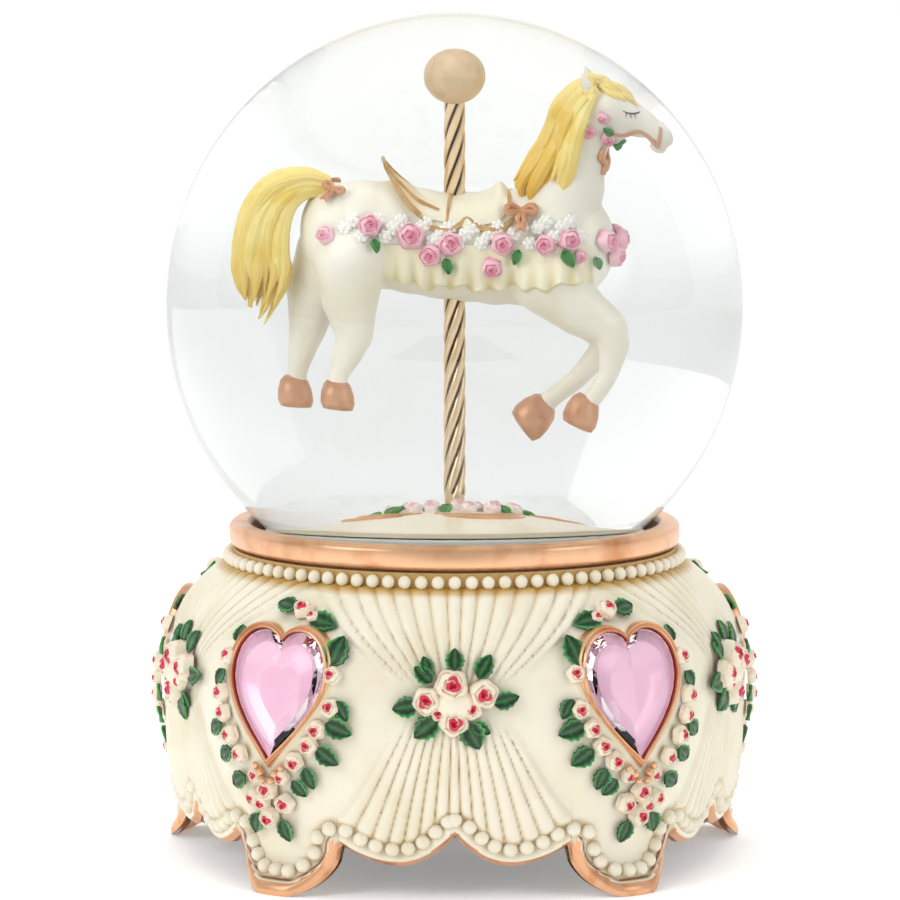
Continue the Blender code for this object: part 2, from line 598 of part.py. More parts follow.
def make_mound():
    """The domed ground under the horse, with the pole's bushing in it."""
    steps = 4
    bore = BUSHING_RADIUS + GAP
    dome = []
    for step in range(steps + 1):
        radius = MOUND_RADIUS + (bore - MOUND_RADIUS) * step / steps
        rise = MOUND_RISE * (1 - (radius / MOUND_RADIUS) ** 1.8)
        dome.append((radius, MOUND_BOTTOM + MOUND_EDGE + rise))
    outline = [(bore, MOUND_BOTTOM), (MOUND_RADIUS, MOUND_BOTTOM)] + dome
    place_mesh("ground_mound", turned_bm(outline, ROUND), RESIN)
    top = MOUND_TOP + 0.6 * MM
    sleeve = tube_outline(BUSHING_BORE, BUSHING_RADIUS, MOUND_BOTTOM + GAP, top)
    place_mesh("pole_bushing", turned_bm(sleeve, SMALL_ROUND), BRASS)


# --- Carousel: turns about the globe's axis -----------------------------------------------------
def make_pole(axis):
    """The twisted pole, round where it runs in its bushing."""
    low, high = DRIVEN_MAGNET_BOTTOM, BALL_HEIGHT - BALL_RADIUS + BALL_SOCKET - GAP
    twist_start = MOUND_TOP + 2.0 * MM
    sides = 2 * POLE_LOBES
    rows = 28
    levels = [low, twist_start]
    levels += [twist_start + (high - twist_start) * row / rows for row in range(1, rows + 1)]
    bm = bmesh.new()
    rings = []
    for level in levels:
        turn = 2 * math.pi * max(0.0, level - twist_start) / POLE_TWIST
        ring = []
        for side in range(sides):
            angle = 2 * math.pi * side / sides + turn
            lobed = level > twist_start
            radius = POLE_RADIUS * (1.0 + (0.1 * (-1) ** side if lobed else 0.0))
            ring.append(bm.verts.new((radius * math.cos(angle), radius * math.sin(angle), level)))
        rings.append(ring)
    for lower, upper in zip(rings, rings[1:]):
        for side in range(sides):
            after = (side + 1) % sides
            bm.faces.new((lower[side], lower[after], upper[after], upper[side]))
    bm.faces.new(list(reversed(rings[0])))
    bm.faces.new(rings[-1])
    place_mesh("carousel_pole", bm, GILT, axis)


def make_ball(axis):
    """The gilt ball on the pole's top, with a blind socket for the pole."""
    steps = 10
    bottom = BALL_HEIGHT - BALL_RADIUS
    socket = POLE_RADIUS * 1.1 + GAP
    start = math.asin(socket / BALL_RADIUS)
    arc = [start + (math.pi - start) * step / steps for step in range(steps + 1)]
    outline = [(BALL_RADIUS * math.sin(angle), BALL_HEIGHT - BALL_RADIUS * math.cos(angle))
               for angle in arc]
    outline[-1] = (0.0, BALL_HEIGHT + BALL_RADIUS)
    outline = [(0.0, bottom + BALL_SOCKET), (socket, bottom + BALL_SOCKET)] + outline
    place_mesh("pole_ball", turned_bm(outline, 24), GILT, axis)


def make_magnets(carousel, barrel):
    """The driven magnet on the pole's foot and the drive magnet on its carrier."""
    foot = POLE_RADIUS * 1.1 + GAP
    ring = tube_outline(foot, MAGNET_RADIUS, DRIVEN_MAGNET_BOTTOM, DRIVEN_MAGNET_BOTTOM + MAGNET_HEIGHT)
    place_mesh("driven_magnet", turned_bm(ring, 32), MAGNET, carousel)
    disc = rod_outline(MAGNET_RADIUS, DRIVE_MAGNET_BOTTOM, DRIVE_MAGNET_BOTTOM + MAGNET_HEIGHT)
    place_mesh("drive_magnet", turned_bm(disc, 32), MAGNET, barrel)
    low = CARRIER_TOP - CARRIER_HEIGHT
    hub = SPINDLE_RADIUS + GAP
    carrier = [(hub, low - 2.0 * MM), (hub + 1.6 * MM, low - 2.0 * MM), (hub + 1.6 * MM, low),
               (CARRIER_RADIUS, low), (CARRIER_RADIUS, CARRIER_TOP), (hub, CARRIER_TOP)]
    place_mesh("magnet_carrier", turned_bm(carrier, 32), PLASTIC, barrel)


def horse_masses():
    """The figure's masses: centre (x, y, z) and half sizes along x, y, z, all in millimetres."""
    trunk = [(-15.5, 0, 105.5, 5.0, 5.4, 6.6), (-12, 0, 105.2, 6.6, 6.0, 7.2),
             (-8.5, 0, 104.8, 7.4, 6.3, 7.4), (-5, 0, 104, 7.6, 6.5, 7.4),
             (-1.5, 0, 103.4, 7.8, 6.6, 7.4), (2, 0, 103.2, 7.8, 6.6, 7.6),
             (5.5, 0, 103.1, 7.6, 6.6, 7.9), (9, 0, 103.2, 7.4, 6.4, 8.1), (12.5, 0, 103.4, 6.8, 6.2, 8.0),
             (16.5, 0, 103.2, 4.8, 5.0, 6.8)]
    return trunk + [(26, 0, 120.4, 4.6, 2.4, 3.4), (21.5, 0, 122.4, 4.6, 2.9, 4.4)]


def horse_limbs():
    """Chains of (x, y, z, radius), in millimetres, for neck, tail, mane, legs and saddle."""
    return [
        [(13.5, 0, 107, 5.4), (15.6, 0, 113, 4.4), (17, 0, 118, 3.6), (19.5, 0, 122, 3.2)],
        [(11.5, -1.5, 109, 2.6), (12.5, -1.2, 114.5, 2.8), (14.6, -0.8, 120, 2.6), (18.6, 0, 125.6, 2.2)],
        [(22.5, 0, 123, 3.6), (27, 0, 120, 2.8), (29.4, 0, 118.4, 2.0)],
        [(18.6, 1.6, 125.5, 1.2), (18.3, 1.8, 128.3, 0.5)],
        [(18.6, -1.6, 125.5, 1.2), (18.3, -1.8, 128.3, 0.5)],
        [(-17, 0, 110, 2.4), (-20.8, 0, 111.6, 2.4), (-24.6, 0, 108.6, 2.8), (-26, 0, 103.4, 3.2),
         (-26, 0, 98.4, 2.6), (-26.2, 0, 93.8, 1.0)],
        [(-14.5, -3.2, 101, 4.6), (-13.6, -3.4, 95.5, 3.0), (-13.8, -3.6, 91.4, 2.1),
         (-15.6, -3.6, 86.5, 1.4), (-15.8, -3.6, 82.4, 2.2)],
        [(-16.5, 3.2, 101, 4.4), (-18.6, 3.4, 95.5, 2.8), (-19.2, 3.6, 90.4, 1.9), (-20, 3.6, 86.5, 1.4),
         (-20.3, 3.6, 82.9, 2.2)],
        [(13.5, -3.2, 97.5, 4.0), (18, -3.6, 93.4, 2.6), (21.2, -3.6, 92.4, 1.9), (20.4, -3.6, 87, 1.6),
         (18.2, -3.6, 83, 1.4), (16.6, -3.6, 80.4, 2.1)],
        [(12.5, 3.2, 97.5, 4.0), (17.5, 3.6, 92.8, 2.5), (20.4, 3.6, 91.4, 1.8), (17.2, 3.6, 86, 1.5),
         (13.4, 3.6, 82.6, 1.4), (10, 3.6, 80, 2.2)],
        [(-8.6, 0, 113.4, 0.9), (-6.2, 0, 110.5, 2.0), (0, 0, 108.4, 2.4), (5.6, 0, 110.4, 1.5)],
    ]


def make_horse(axis):
    """One hand-painted casting with a bore for the pole through its middle."""
    bm = bmesh.new()
    for x, y, z, *half in horse_masses():
        stretch = Matrix.Diagonal((*[size * MM for size in half], 1))
        placing = Matrix.Translation(Vector((x, y, z)) * MM) @ stretch
        bmesh.ops.create_icosphere(bm, subdivisions=3, radius=1.0, matrix=placing)
    for chain in horse_limbs():
        for x, y, z, radius in chain:
            placing = Matrix.Translation(Vector((x, y, z)) * MM)
            bmesh.ops.create_icosphere(bm, subdivisions=2, radius=radius * MM, matrix=placing)
        for start, end in zip(chain, chain[1:]):
            first, last = Vector(start[:3]) * MM, Vector(end[:3]) * MM
            turn = (last - first).to_track_quat("Z", "Y").to_matrix().to_4x4()
            placing = Matrix.Translation((first + last) / 2) @ turn
            bmesh.ops.create_cone(bm, cap_ends=True, segments=16, radius1=start[3] * MM,
                                  radius2=end[3] * MM, depth=(last - first).length, matrix=placing)
    horse = place_mesh("horse_figure", bm, HORSE, axis)
    skin = horse.modifiers.new("one_skin", "REMESH")
    skin.mode = "VOXEL"
    skin.voxel_size = 0.55 * MM
    soft = horse.modifiers.new("soft_forms", "SMOOTH")
    soft.iterations = 4
    fewer = horse.modifiers.new("fewer_faces", "DECIMATE")
    fewer.ratio = 0.055
    bore = turned_bm(rod_outline(POLE_RADIUS * 1.1 + GAP, 85 * MM, 120 * MM), 16)
    boolean(horse, tool("horse_bore", bore, axis), "DIFFERENCE")


# --- Spring barrel: turns about the globe's axis --------------------------------------------------
def make_barrel(axis):
    """The spring barrel, its spring, the crown gear that closes it and the spindle on top."""
    inner = BARREL_RADIUS - BARREL_WALL
    hole = ARBOR_RADIUS + RUN
    cup = [(hole, BARREL_BOTTOM), (BARREL_RADIUS, BARREL_BOTTOM), (BARREL_RADIUS, BARREL_TOP),
           (inner, BARREL_TOP), (inner, BARREL_BOTTOM + BARREL_WALL), (hole, BARREL_BOTTOM + BARREL_WALL)]
    place_mesh("spring_barrel", turned_bm(cup, 32), BRASS, axis)
    make_mainspring(axis, ARBOR_HUB + 2 * GAP, inner - GAP)
    make_crown_gear(axis)
    flange = 4.0 * MM
    spindle = [(0, CROWN_TOP + GAP), (flange, CROWN_TOP + GAP), (flange, CROWN_TOP + 1.4 * MM),
               (SPINDLE_RADIUS, CROWN_TOP + 1.4 * MM), (SPINDLE_RADIUS, CARRIER_TOP - GAP),
               (0, CARRIER_TOP - GAP)]
    place_mesh("output_spindle", turned_bm(spindle, SMALL_ROUND), STEEL, axis)


def make_mainspring(axis, inner, outer):
    """A flat steel ribbon coiled from the hub to the barrel's wall."""
    turns, steps, thickness = 4, 14, 0.5 * MM
    low = BARREL_BOTTOM + BARREL_WALL + 2 * GAP
    high = BARREL_TOP - 2 * GAP
    bm = bmesh.new()
    rings = []
    for step in range(turns * steps + 1):
        share = step / (turns * steps)
        angle = 2 * math.pi * turns * share
        radius = inner + thickness + (outer - inner - thickness) * share
        direction = Vector((math.cos(angle), math.sin(angle), 0))
        corners = ((radius - thickness, low), (radius, low), (radius, high), (radius - thickness, high))
        rings.append([bm.verts.new(direction * away + Vector((0, 0, level))) for away, level in corners])
    for lower, upper in zip(rings, rings[1:]):
        for index in range(4):
            after = (index + 1) % 4
            bm.faces.new((lower[index], lower[after], upper[after], upper[index]))
    bm.faces.new(rings[0])
    bm.faces.new(list(reversed(rings[-1])))
    place_mesh("mainspring", bm, STEEL, axis)


def make_crown_gear(axis):
    """A plate with face teeth standing on its rim; one tooth is centred on +X."""
    sectors = 2 * CROWN_TEETH
    tooth_share = 0.42
    half = CROWN_FACE / 2
    radii = (SPINDLE_RADIUS + GAP, CROWN_PITCH_RADIUS - half, CROWN_PITCH_RADIUS + half)
    pitch = 2 * math.pi / CROWN_TEETH
    angles = []
    for tooth in range(CROWN_TEETH):
        angles += [(tooth - tooth_share / 2) * pitch, (tooth + tooth_share / 2) * pitch]

    def ring(radius, level):
        return [bm.verts.new((radius * math.cos(a), radius * math.sin(a), level)) for a in angles]

    bm = bmesh.new()
    rings = [ring(radii[0], CROWN_BOTTOM), ring(radii[2], CROWN_BOTTOM), ring(radii[2], CROWN_TOP),
             ring(radii[1], CROWN_TOP), ring(radii[0], CROWN_TOP)]
    seats = []
    for number, (lower, upper) in enumerate(zip(rings, rings[1:] + rings[:1])):
        for index in range(sectors):
            after = (index + 1) % sectors
            face = bm.faces.new((lower[index], lower[after], upper[after], upper[index]))
            if number == 2 and index % 2 == 0:
                seats.append(face)
    bmesh.ops.recalc_face_normals(bm, faces=bm.faces)
    raised = bmesh.ops.extrude_discrete_faces(bm, faces=seats)["faces"]
    for face in raised:
        middle = face.calc_center_median()
        across = Vector((-middle.y, middle.x, 0)).normalized()
        for vert in face.verts:
            vert.co -= across * (vert.co - middle).dot(across) * 0.45
            vert.co.z += CROWN_DEDENDUM + CROWN_ADDENDUM
    place_mesh("crown_gear", bm, BRASS, axis)


# --- Winding: turns about the globe's axis --------------------------------------------------------
def make_winding(axis):
    """The arbor that the spring is hooked to and the butterfly key on its lower end."""
    low = KEY_FLOOR_CLEARANCE + KEY_TALL - 2.2 * MM
    hub_low = BARREL_BOTTOM + BARREL_WALL + GAP
    outline = [(0, low), (ARBOR_RADIUS, low), (ARBOR_RADIUS, hub_low), (ARBOR_HUB, hub_low),
               (ARBOR_HUB, BARREL_TOP - 2 * GAP), (0, BARREL_TOP - 2 * GAP)]
    place_mesh("winding_arbor", turned_bm(outline, SMALL_ROUND), STEEL, axis)
    boss_top = PLATE_BOTTOM - 0.7 * MM
    boss_low = low - 1.4 * MM
    bore = ARBOR_RADIUS + GAP
    boss = [(0, boss_low), (KEY_BOSS_RADIUS, boss_low), (KEY_BOSS_RADIUS, boss_top), (bore, boss_top),
            (bore, low - GAP), (0, low - GAP)]
    key = place_mesh("winding_key", turned_bm(boss, SMALL_ROUND), BRASS, axis)
    wing = KEY_TALL / 2
    reach = KEY_SPAN / 2 - wing
    arc = [math.pi * (step / 8 - 0.5) for step in range(9)]
    right = [(reach + wing * math.cos(a), wing * math.sin(a)) for a in arc]
    left = [(-x, y) for x, y in reversed(right)]
    wings = prism_bm(right + left, -KEY_THICKNESS / 2, KEY_THICKNESS / 2)
    bmesh.ops.rotate(wings, verts=wings.verts, cent=(0, 0, 0), matrix=Matrix.Rotation(math.pi / 2, 3, "X"))
    bmesh.ops.translate(wings, verts=wings.verts, vec=(0, 0, KEY_FLOOR_CLEARANCE + wing))
    cutaway = tool("key_wings", wings, axis)
    clear = turned_bm(rod_outline(ARBOR_RADIUS + GAP, low - GAP, boss_top + MM), SMALL_ROUND)
    boolean(key, cutaway, "UNION")
    boolean(key, tool("key_bore", clear, axis), "DIFFERENCE")
    for side in (-1, 1):
        hole = turned_bm(rod_outline(KEY_HOLE_RADIUS, -3 * MM, 3 * MM), 16)
        upright = Matrix.Rotation(math.pi / 2, 3, "X")
        bmesh.ops.rotate(hole, verts=hole.verts, cent=(0, 0, 0), matrix=upright)
        bmesh.ops.translate(hole, verts=hole.verts, vec=(side * reach, 0, KEY_FLOOR_CLEARANCE + wing))
        boolean(key, tool(f"key_hole_{side + 2}", hole, axis), "DIFFERENCE")


def make_click():
    """The wrap spring that lets the arbor turn one way only; two coils in the plate's hole."""
    inner, outer = ARBOR_RADIUS + GAP, ARBOR_RADIUS + 1.7 * MM
    low, coil = PLATE_BOTTOM + GAP, 0.6 * MM
    outline = [(inner, low), (outer, low)]
    for number in range(2):
        base = low + number * coil
        outline += [(outer, base + 0.35 * MM), (outer - 0.3 * MM, base + 0.48 * MM), (outer, base + coil)]
    top = outline[-1][1]
    place_mesh("click_spring", turned_bm(outline[:-1] + [(outer, top), (inner, top)], SMALL_ROUND), STEEL)


# --- Movement frame -------------------------------------------------------------------------------
def make_bedplate():
    """The cast plate that carries the movement, with the raised block for the comb."""
    corners = [(-16, -11), (-11, -16), (8, -20.5), (20, -20.5), (36.3, -8), (36.3, 7), (33.6, 16.6),
               (29, 18.4), (-9, 18.4), (-16, 11)]
    outline = [(x * MM, y * MM) for x, y in corners]
    plate = place_mesh("movement_bedplate", prism_bm(outline, BEDPLATE_BOTTOM, BEDPLATE_TOP), ZINC)
    back = COMB_ROOT_Y + COMB_BLOCK_DEPTH
    top = CYLINDER_AXIS - COMB_THICKNESS / 2 - GAP
    block = box_bm((CYLINDER_START, COMB_ROOT_Y + 0.4 * MM, BEDPLATE_TOP - MM),
                   (CYLINDER_END - 0.4 * MM, back - 0.2 * MM, top))
    boolean(plate, tool("comb_block", block), "UNION")
    drill(plate, (0, 0, 0), ARBOR_RADIUS + RUN, BEDPLATE_BOTTOM - MM, BEDPLATE_TOP + MM)
    for x, y in MOVEMENT_SCREWS:
        drill(plate, (x, y, 0), SCREW_RADIUS + GAP, BEDPLATE_BOTTOM - MM, BEDPLATE_TOP + MM)
    for x in COMB_SCREWS:
        drill(plate, (x, COMB_ROOT_Y + COMB_BLOCK_DEPTH / 2, 0), SCREW_RADIUS + GAP, top - 6 * MM, top + MM)


def make_comb():
    """The steel comb: one tooth to a note, screwed to the block of the bedplate."""
    tip = COMB_ROOT_Y - COMB_REACH
    outline = [(CYLINDER_START, COMB_ROOT_Y + COMB_BLOCK_DEPTH)]
    for note in range(NOTES):
        left = CYLINDER_START + (note + 0.16) * NOTE_PITCH
        right = CYLINDER_START + (note + 0.84) * NOTE_PITCH
        outline += [(left, COMB_ROOT_Y), (left, tip), (right, tip), (right, COMB_ROOT_Y)]
    outline.append((CYLINDER_END, COMB_ROOT_Y + COMB_BLOCK_DEPTH))
    low, high = CYLINDER_AXIS - COMB_THICKNESS / 2, CYLINDER_AXIS + COMB_THICKNESS / 2
    comb = place_mesh("comb", prism_bm(outline, low, high), STEEL)
    for number, x in enumerate(COMB_SCREWS):
        y = COMB_ROOT_Y + COMB_BLOCK_DEPTH / 2
        drill(comb, (x, y, 0), SCREW_RADIUS + GAP, low - MM, high + MM)
        screw(f"comb_screw_{number + 1}", (x, y, high + GAP), 5.0 * MM, head_down=False)


def make_bracket(name, start):
    """A post with a round top that carries one end of the cylinder's arbor."""
    half = 3.0 * MM
    low = BEDPLATE_TOP + GAP
    arc = [math.pi * step / 8 for step in range(9)]
    outline = [(low - CYLINDER_AXIS, -half), (low - CYLINDER_AXIS, half)]
    outline += [(half * math.sin(a), half * math.cos(a)) for a in arc]
    bm = prism_bm(outline, start, start + BRACKET_THICKNESS)
    placing = Matrix(((0, 0, 1, 0), (0, 1, 0, 0), (1, 0, 0, CYLINDER_AXIS), (0, 0, 0, 1)))
    bm.transform(placing)
    bracket = place_mesh(name, bm, ZINC)
    ends = (-BRACKET_THICKNESS, BRACKET_THICKNESS)
    drill(bracket, (start + BRACKET_THICKNESS / 2, 0, CYLINDER_AXIS), SMALL_ARBOR + RUN, *ends, along="X")


def make_governor_bracket():
    """The frame of the governor: a wall, two arms for the worm and two cheeks for its wheel."""
    face = WORM_Y - FLY_RADIUS - 0.4 * MM
    wall = (face - 1.6 * MM, face)
    cheek = 1.1 * MM
    first = WORM_X - WORM_RADIUS - WORM_ADDENDUM - 0.4 * MM - cheek
    last = GEAR_START + GEAR_THICKNESS + 1.2 * MM
    low, high = BEDPLATE_TOP + GAP, DECK_BOTTOM - 1.1 * MM
    block = box_bm((first, wall[0], low), (last + cheek, wall[1], high))
    bracket = place_mesh("governor_bracket", block, ZINC)
    arm_x = (WORM_X - 1.8 * MM, WORM_X + 1.8 * MM)
    arm_y = (wall[1] - 0.5 * MM, WORM_Y + 1.9 * MM)
    cheek_y = (wall[1] - 0.5 * MM, GOVERNOR_Y + 1.7 * MM)
    cheek_z = (GOVERNOR_Z - 1.7 * MM, GOVERNOR_Z + 1.7 * MM)
    pieces = {
        "lower_arm": ((arm_x[0], arm_y[0], low), (arm_x[1], arm_y[1], low + 1.6 * MM)),
        "upper_arm": ((arm_x[0], arm_y[0], high - 1.4 * MM), (arm_x[1], arm_y[1], high)),
        "inner_cheek": ((first, cheek_y[0], cheek_z[0]), (first + cheek, cheek_y[1], cheek_z[1])),
        "outer_cheek": ((last, cheek_y[0], cheek_z[0]), (last + cheek, cheek_y[1], cheek_z[1])),
    }
    for name, (corner, opposite) in pieces.items():
        boolean(bracket, tool("governor_" + name, box_bm(corner, opposite)), "UNION")
    drill(bracket, (WORM_X, WORM_Y, 0), SMALL_ARBOR + RUN, low + 0.6 * MM, low + 3 * MM)
    drill(bracket, (WORM_X, WORM_Y, 0), SMALL_ARBOR + RUN, high - 3 * MM, high + MM)
    middle = (first + last + cheek) / 2
    half = (last + cheek - first) / 2 + MM
    drill(bracket, (middle, GOVERNOR_Y, GOVERNOR_Z), SMALL_ARBOR + RUN, -half, half, along="X")
    return first, last + cheek


# --- Pinned cylinder: turns about an axis along +X -----------------------------------------------
def make_cylinder(axis):
    """Arbor with the crown's pinion, the pinned brass cylinder and the gear for the governor."""
    low = CROWN_PITCH_RADIUS - PINION_FACE / 2
    gap_down = -math.pi / 2 + math.pi / PINION_TEETH
    teeth = gear_outline(PINION_TEETH, PINION_PITCH_RADIUS + CROWN_ADDENDUM,
                         PINION_PITCH_RADIUS - CROWN_DEDENDUM, 0.46, 0.20, gap_down)
    pinion = prism_bm(to_axis_frame(teeth), low, low + PINION_FACE)
    end = OUTER_BRACKET_X + BRACKET_THICKNESS + 0.3 * MM
    arbor = turned_bm(rod_outline(SMALL_ARBOR, low - 0.6 * MM, end), 16)
    piece = place_mesh("cylinder_arbor", arbor, STEEL, axis)
    boolean(piece, tool("crown_pinion", pinion, axis), "UNION")
    make_pinned_cylinder(axis)
    toward = math.atan2(GOVERNOR_Z - CYLINDER_AXIS, GOVERNOR_Y)
    radius = CYLINDER_TEETH * GOVERNOR_MODULE / 2
    outline = gear_outline(CYLINDER_TEETH, radius + 0.8 * GOVERNOR_MODULE, radius - 1.15 * GOVERNOR_MODULE,
                           0.55, 0.22, toward)
    gear_bm = prism_bm(to_axis_frame(outline), GEAR_START, GEAR_START + GEAR_THICKNESS)
    gear = place_mesh("cylinder_gear", gear_bm, BRASS, axis)
    middle = (0, 0, GEAR_START)
    drill(gear, middle, SMALL_ARBOR + GAP, -2 * MM, 3 * MM, parent=axis)


def to_axis_frame(outline):
    """Points given in the world's (y, z) plane, as the turned frame of an X axis sees them."""
    return [(-z, y) for y, z in outline]


def make_pinned_cylinder(axis):
    """The cylinder: one band to a note, with short pins raised on it."""
    sides = 18
    bm = bmesh.new()
    bore = SMALL_ARBOR + GAP
    levels = [CYLINDER_START + note * NOTE_PITCH for note in range(NOTES + 1)]

    def ring(radius, level):
        points = [2 * math.pi * side / sides for side in range(sides)]
        return [bm.verts.new((radius * math.cos(a), radius * math.sin(a), level)) for a in points]

    outer_rings = [ring(CYLINDER_RADIUS, level) for level in levels]
    rings = [ring(bore, levels[0]), *outer_rings, ring(bore, levels[-1])]
    chosen = []
    for number, (lower, upper) in enumerate(zip(rings, rings[1:] + rings[:1])):
        for side in range(sides):
            after = (side + 1) % sides
            face = bm.faces.new((lower[side], lower[after], upper[after], upper[side]))
            note = number - 1
            if 0 <= note < NOTES and (side * 7 + note * 5) % 9 == 0:
                chosen.append(face)
    bmesh.ops.recalc_face_normals(bm, faces=bm.faces)
    bmesh.ops.inset_individual(bm, faces=chosen, thickness=0.22 * MM, use_even_offset=True)
    pins = bmesh.ops.extrude_discrete_faces(bm, faces=chosen)["faces"]
    for face in pins:
        middle = face.calc_center_median()
        outward = Vector((middle.x, middle.y, 0)).normalized()
        for vert in face.verts:
            vert.co += outward * PIN_HEIGHT
    place_mesh("pinned_cylinder", bm, BRASS, axis)


# --- Governor -------------------------------------------------------------------------------------
def make_governor(axis, span):
    """Arbor with its pinion, and the wheel that the worm is driven by."""
    outward = math.atan2(CYLINDER_AXIS - GOVERNOR_Z, -GOVERNOR_Y)
    radius = GOVERNOR_TEETH * GOVERNOR_MODULE / 2
    outline = gear_outline(GOVERNOR_TEETH, radius + 0.8 * GOVERNOR_MODULE, radius - 1.15 * GOVERNOR_MODULE,
                           0.50, 0.20, outward + math.pi / GOVERNOR_TEETH)
    pinion = prism_bm(to_axis_frame(outline), GEAR_START, GEAR_START + GEAR_THICKNESS)
    arbor = turned_bm(rod_outline(SMALL_ARBOR, span[0], span[1]), 16)
    piece = place_mesh("governor_arbor", arbor, STEEL, axis)
    boolean(piece, tool("governor_pinion", pinion, axis), "UNION")
    teeth = gear_outline(WORM_TEETH, WHEEL_PITCH_RADIUS + WORM_ADDENDUM, WHEEL_PITCH_RADIUS - WORM_DEDENDUM,
                         0.46, 0.20, math.pi)
    wheel_bm = prism_bm(to_axis_frame(teeth), WHEEL_START, WHEEL_START + WHEEL_THICKNESS)
    wheel = place_mesh("governor_wheel", wheel_bm, BRASS, axis)
    drill(wheel, (0, 0, WHEEL_START), SMALL_ARBOR + GAP, -2 * MM, 3 * MM, parent=axis)


def worm_radius(angle, height):
    """Single right-hand thread; the wheel's tooth meets the middle of a groove on the +Y side."""
    share = ((height - GOVERNOR_Z) / WORM_PITCH - (angle - math.pi / 2) / (2 * math.pi)) % 1.0
    away = abs(share - 0.5)
    tip, root = 0.11, 0.21
    blend = min(1.0, max(0.0, (root - away) / (root - tip)))
    return WORM_RADIUS - WORM_DEDENDUM + (WORM_ADDENDUM + WORM_DEDENDUM) * blend


def make_worm(axis):
    """The worm on its shaft, and the air-brake fly below it."""
    sides, rows = 12, 8 * WORM_TURNS
    bottom = BEDPLATE_TOP + GAP + 0.9 * MM
    top = DECK_BOTTOM - 1.4 * MM
    half = WORM_TURNS * WORM_PITCH / 2
    levels = [(bottom, SMALL_ARBOR), (GOVERNOR_Z - half, SMALL_ARBOR)]
    levels += [(GOVERNOR_Z - half + row * 2 * half / rows, None) for row in range(rows + 1)]
    levels += [(GOVERNOR_Z + half, SMALL_ARBOR), (top, SMALL_ARBOR)]
    bm = bmesh.new()
    rings = []
    for level, plain in levels:
        ring = []
        for side in range(sides):
            angle = 2 * math.pi * side / sides
            radius = plain or worm_radius(angle, level)
            ring.append(bm.verts.new((radius * math.cos(angle), radius * math.sin(angle), level)))
        rings.append(ring)
    for lower, upper in zip(rings, rings[1:]):
        for side in range(sides):
            after = (side + 1) % sides
            bm.faces.new((lower[side], lower[after], upper[after], upper[side]))
    bm.faces.new(list(reversed(rings[0])))
    bm.faces.new(rings[-1])
    place_mesh("governor_worm", bm, STEEL, axis)
    low = BEDPLATE_TOP + GAP + 3.2 * MM
    hub = turned_bm(tube_outline(SMALL_ARBOR + GAP, SMALL_ARBOR + 1.0 * MM, low, low + FLY_HEIGHT), 16)
    fly = place_mesh("governor_fly", hub, PLASTIC, axis)
    for side in (-1, 1):
        near, far = side * (SMALL_ARBOR + 0.7 * MM), side * FLY_RADIUS
        blade = box_bm((min(near, far), -0.25 * MM, low + 0.4 * MM),
                       (max(near, far), 0.25 * MM, low + FLY_HEIGHT - 0.4 * MM))
        boolean(fly, tool(f"fly_blade_{side + 2}", blade, axis), "UNION")


def build():
    for old in list(bpy.data.objects):
        bpy.data.objects.remove(old, do_unlink=True)
    shell = make_base_shell()
    make_bouquets(shell)
    make_hearts(shell)
    make_collar()
    make_base_plate()
    make_globe()
    make_stopper()
    make_mound()
    carousel = axis_empty("carousel_axis")
    barrel = axis_empty("barrel_axis")
    winder = axis_empty("winding_axis")
    cylinder = axis_empty("cylinder_axis", (0, 0, CYLINDER_AXIS), along="X")
    governor = axis_empty("governor_axis", (0, GOVERNOR_Y, GOVERNOR_Z), along="X")
    worm = axis_empty("worm_axis", (WORM_X, WORM_Y, 0))
    make_pole(carousel)
    make_ball(carousel)
    make_horse(carousel)
    make_magnets(carousel, barrel)
    make_barrel(barrel)
    make_winding(winder)
    make_click()
    make_bedplate()
    make_comb()
    make_bracket("cylinder_bracket_inner", INNER_BRACKET_X)
    make_bracket("cylinder_bracket_outer", OUTER_BRACKET_X)
    span = make_governor_bracket()
    make_cylinder(cylinder)
    make_governor(governor, span)
    make_worm(worm)


build()
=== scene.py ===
# %% [markdown]
# # Musical water globe
# A glass ball with a carousel horse in it, on a cast resin base with five heart stones and a
# wind-up movement inside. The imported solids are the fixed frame. This notebook builds the looks
# on top of them, one cell to a group of pieces. Sizes are in millimetres until a point is placed.

# %% Frame
import math
import random

import bmesh
import bpy
import numpy as np
from mathutils import Matrix, Vector
from mathutils.bvhtree import BVHTree
from mathutils.geometry import interpolate_bezier


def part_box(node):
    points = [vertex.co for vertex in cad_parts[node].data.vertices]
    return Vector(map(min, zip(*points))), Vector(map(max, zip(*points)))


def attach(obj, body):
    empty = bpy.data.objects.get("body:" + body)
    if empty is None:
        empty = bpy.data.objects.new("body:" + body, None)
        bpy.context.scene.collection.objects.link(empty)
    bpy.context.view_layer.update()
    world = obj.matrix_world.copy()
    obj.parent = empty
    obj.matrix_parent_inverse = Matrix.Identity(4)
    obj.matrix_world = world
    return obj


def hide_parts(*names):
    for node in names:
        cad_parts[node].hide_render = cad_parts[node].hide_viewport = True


MM = 0.001
HEARTS = 5
SECTOR = math.tau / HEARTS
scene = bpy.context.scene
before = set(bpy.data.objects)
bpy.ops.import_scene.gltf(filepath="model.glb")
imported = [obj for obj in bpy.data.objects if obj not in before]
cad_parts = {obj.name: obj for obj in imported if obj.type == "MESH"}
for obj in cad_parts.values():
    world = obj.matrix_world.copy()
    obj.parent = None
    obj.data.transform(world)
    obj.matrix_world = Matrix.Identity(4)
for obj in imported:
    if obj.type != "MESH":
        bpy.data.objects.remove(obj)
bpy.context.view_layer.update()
print("frame", len(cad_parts), "nodes")
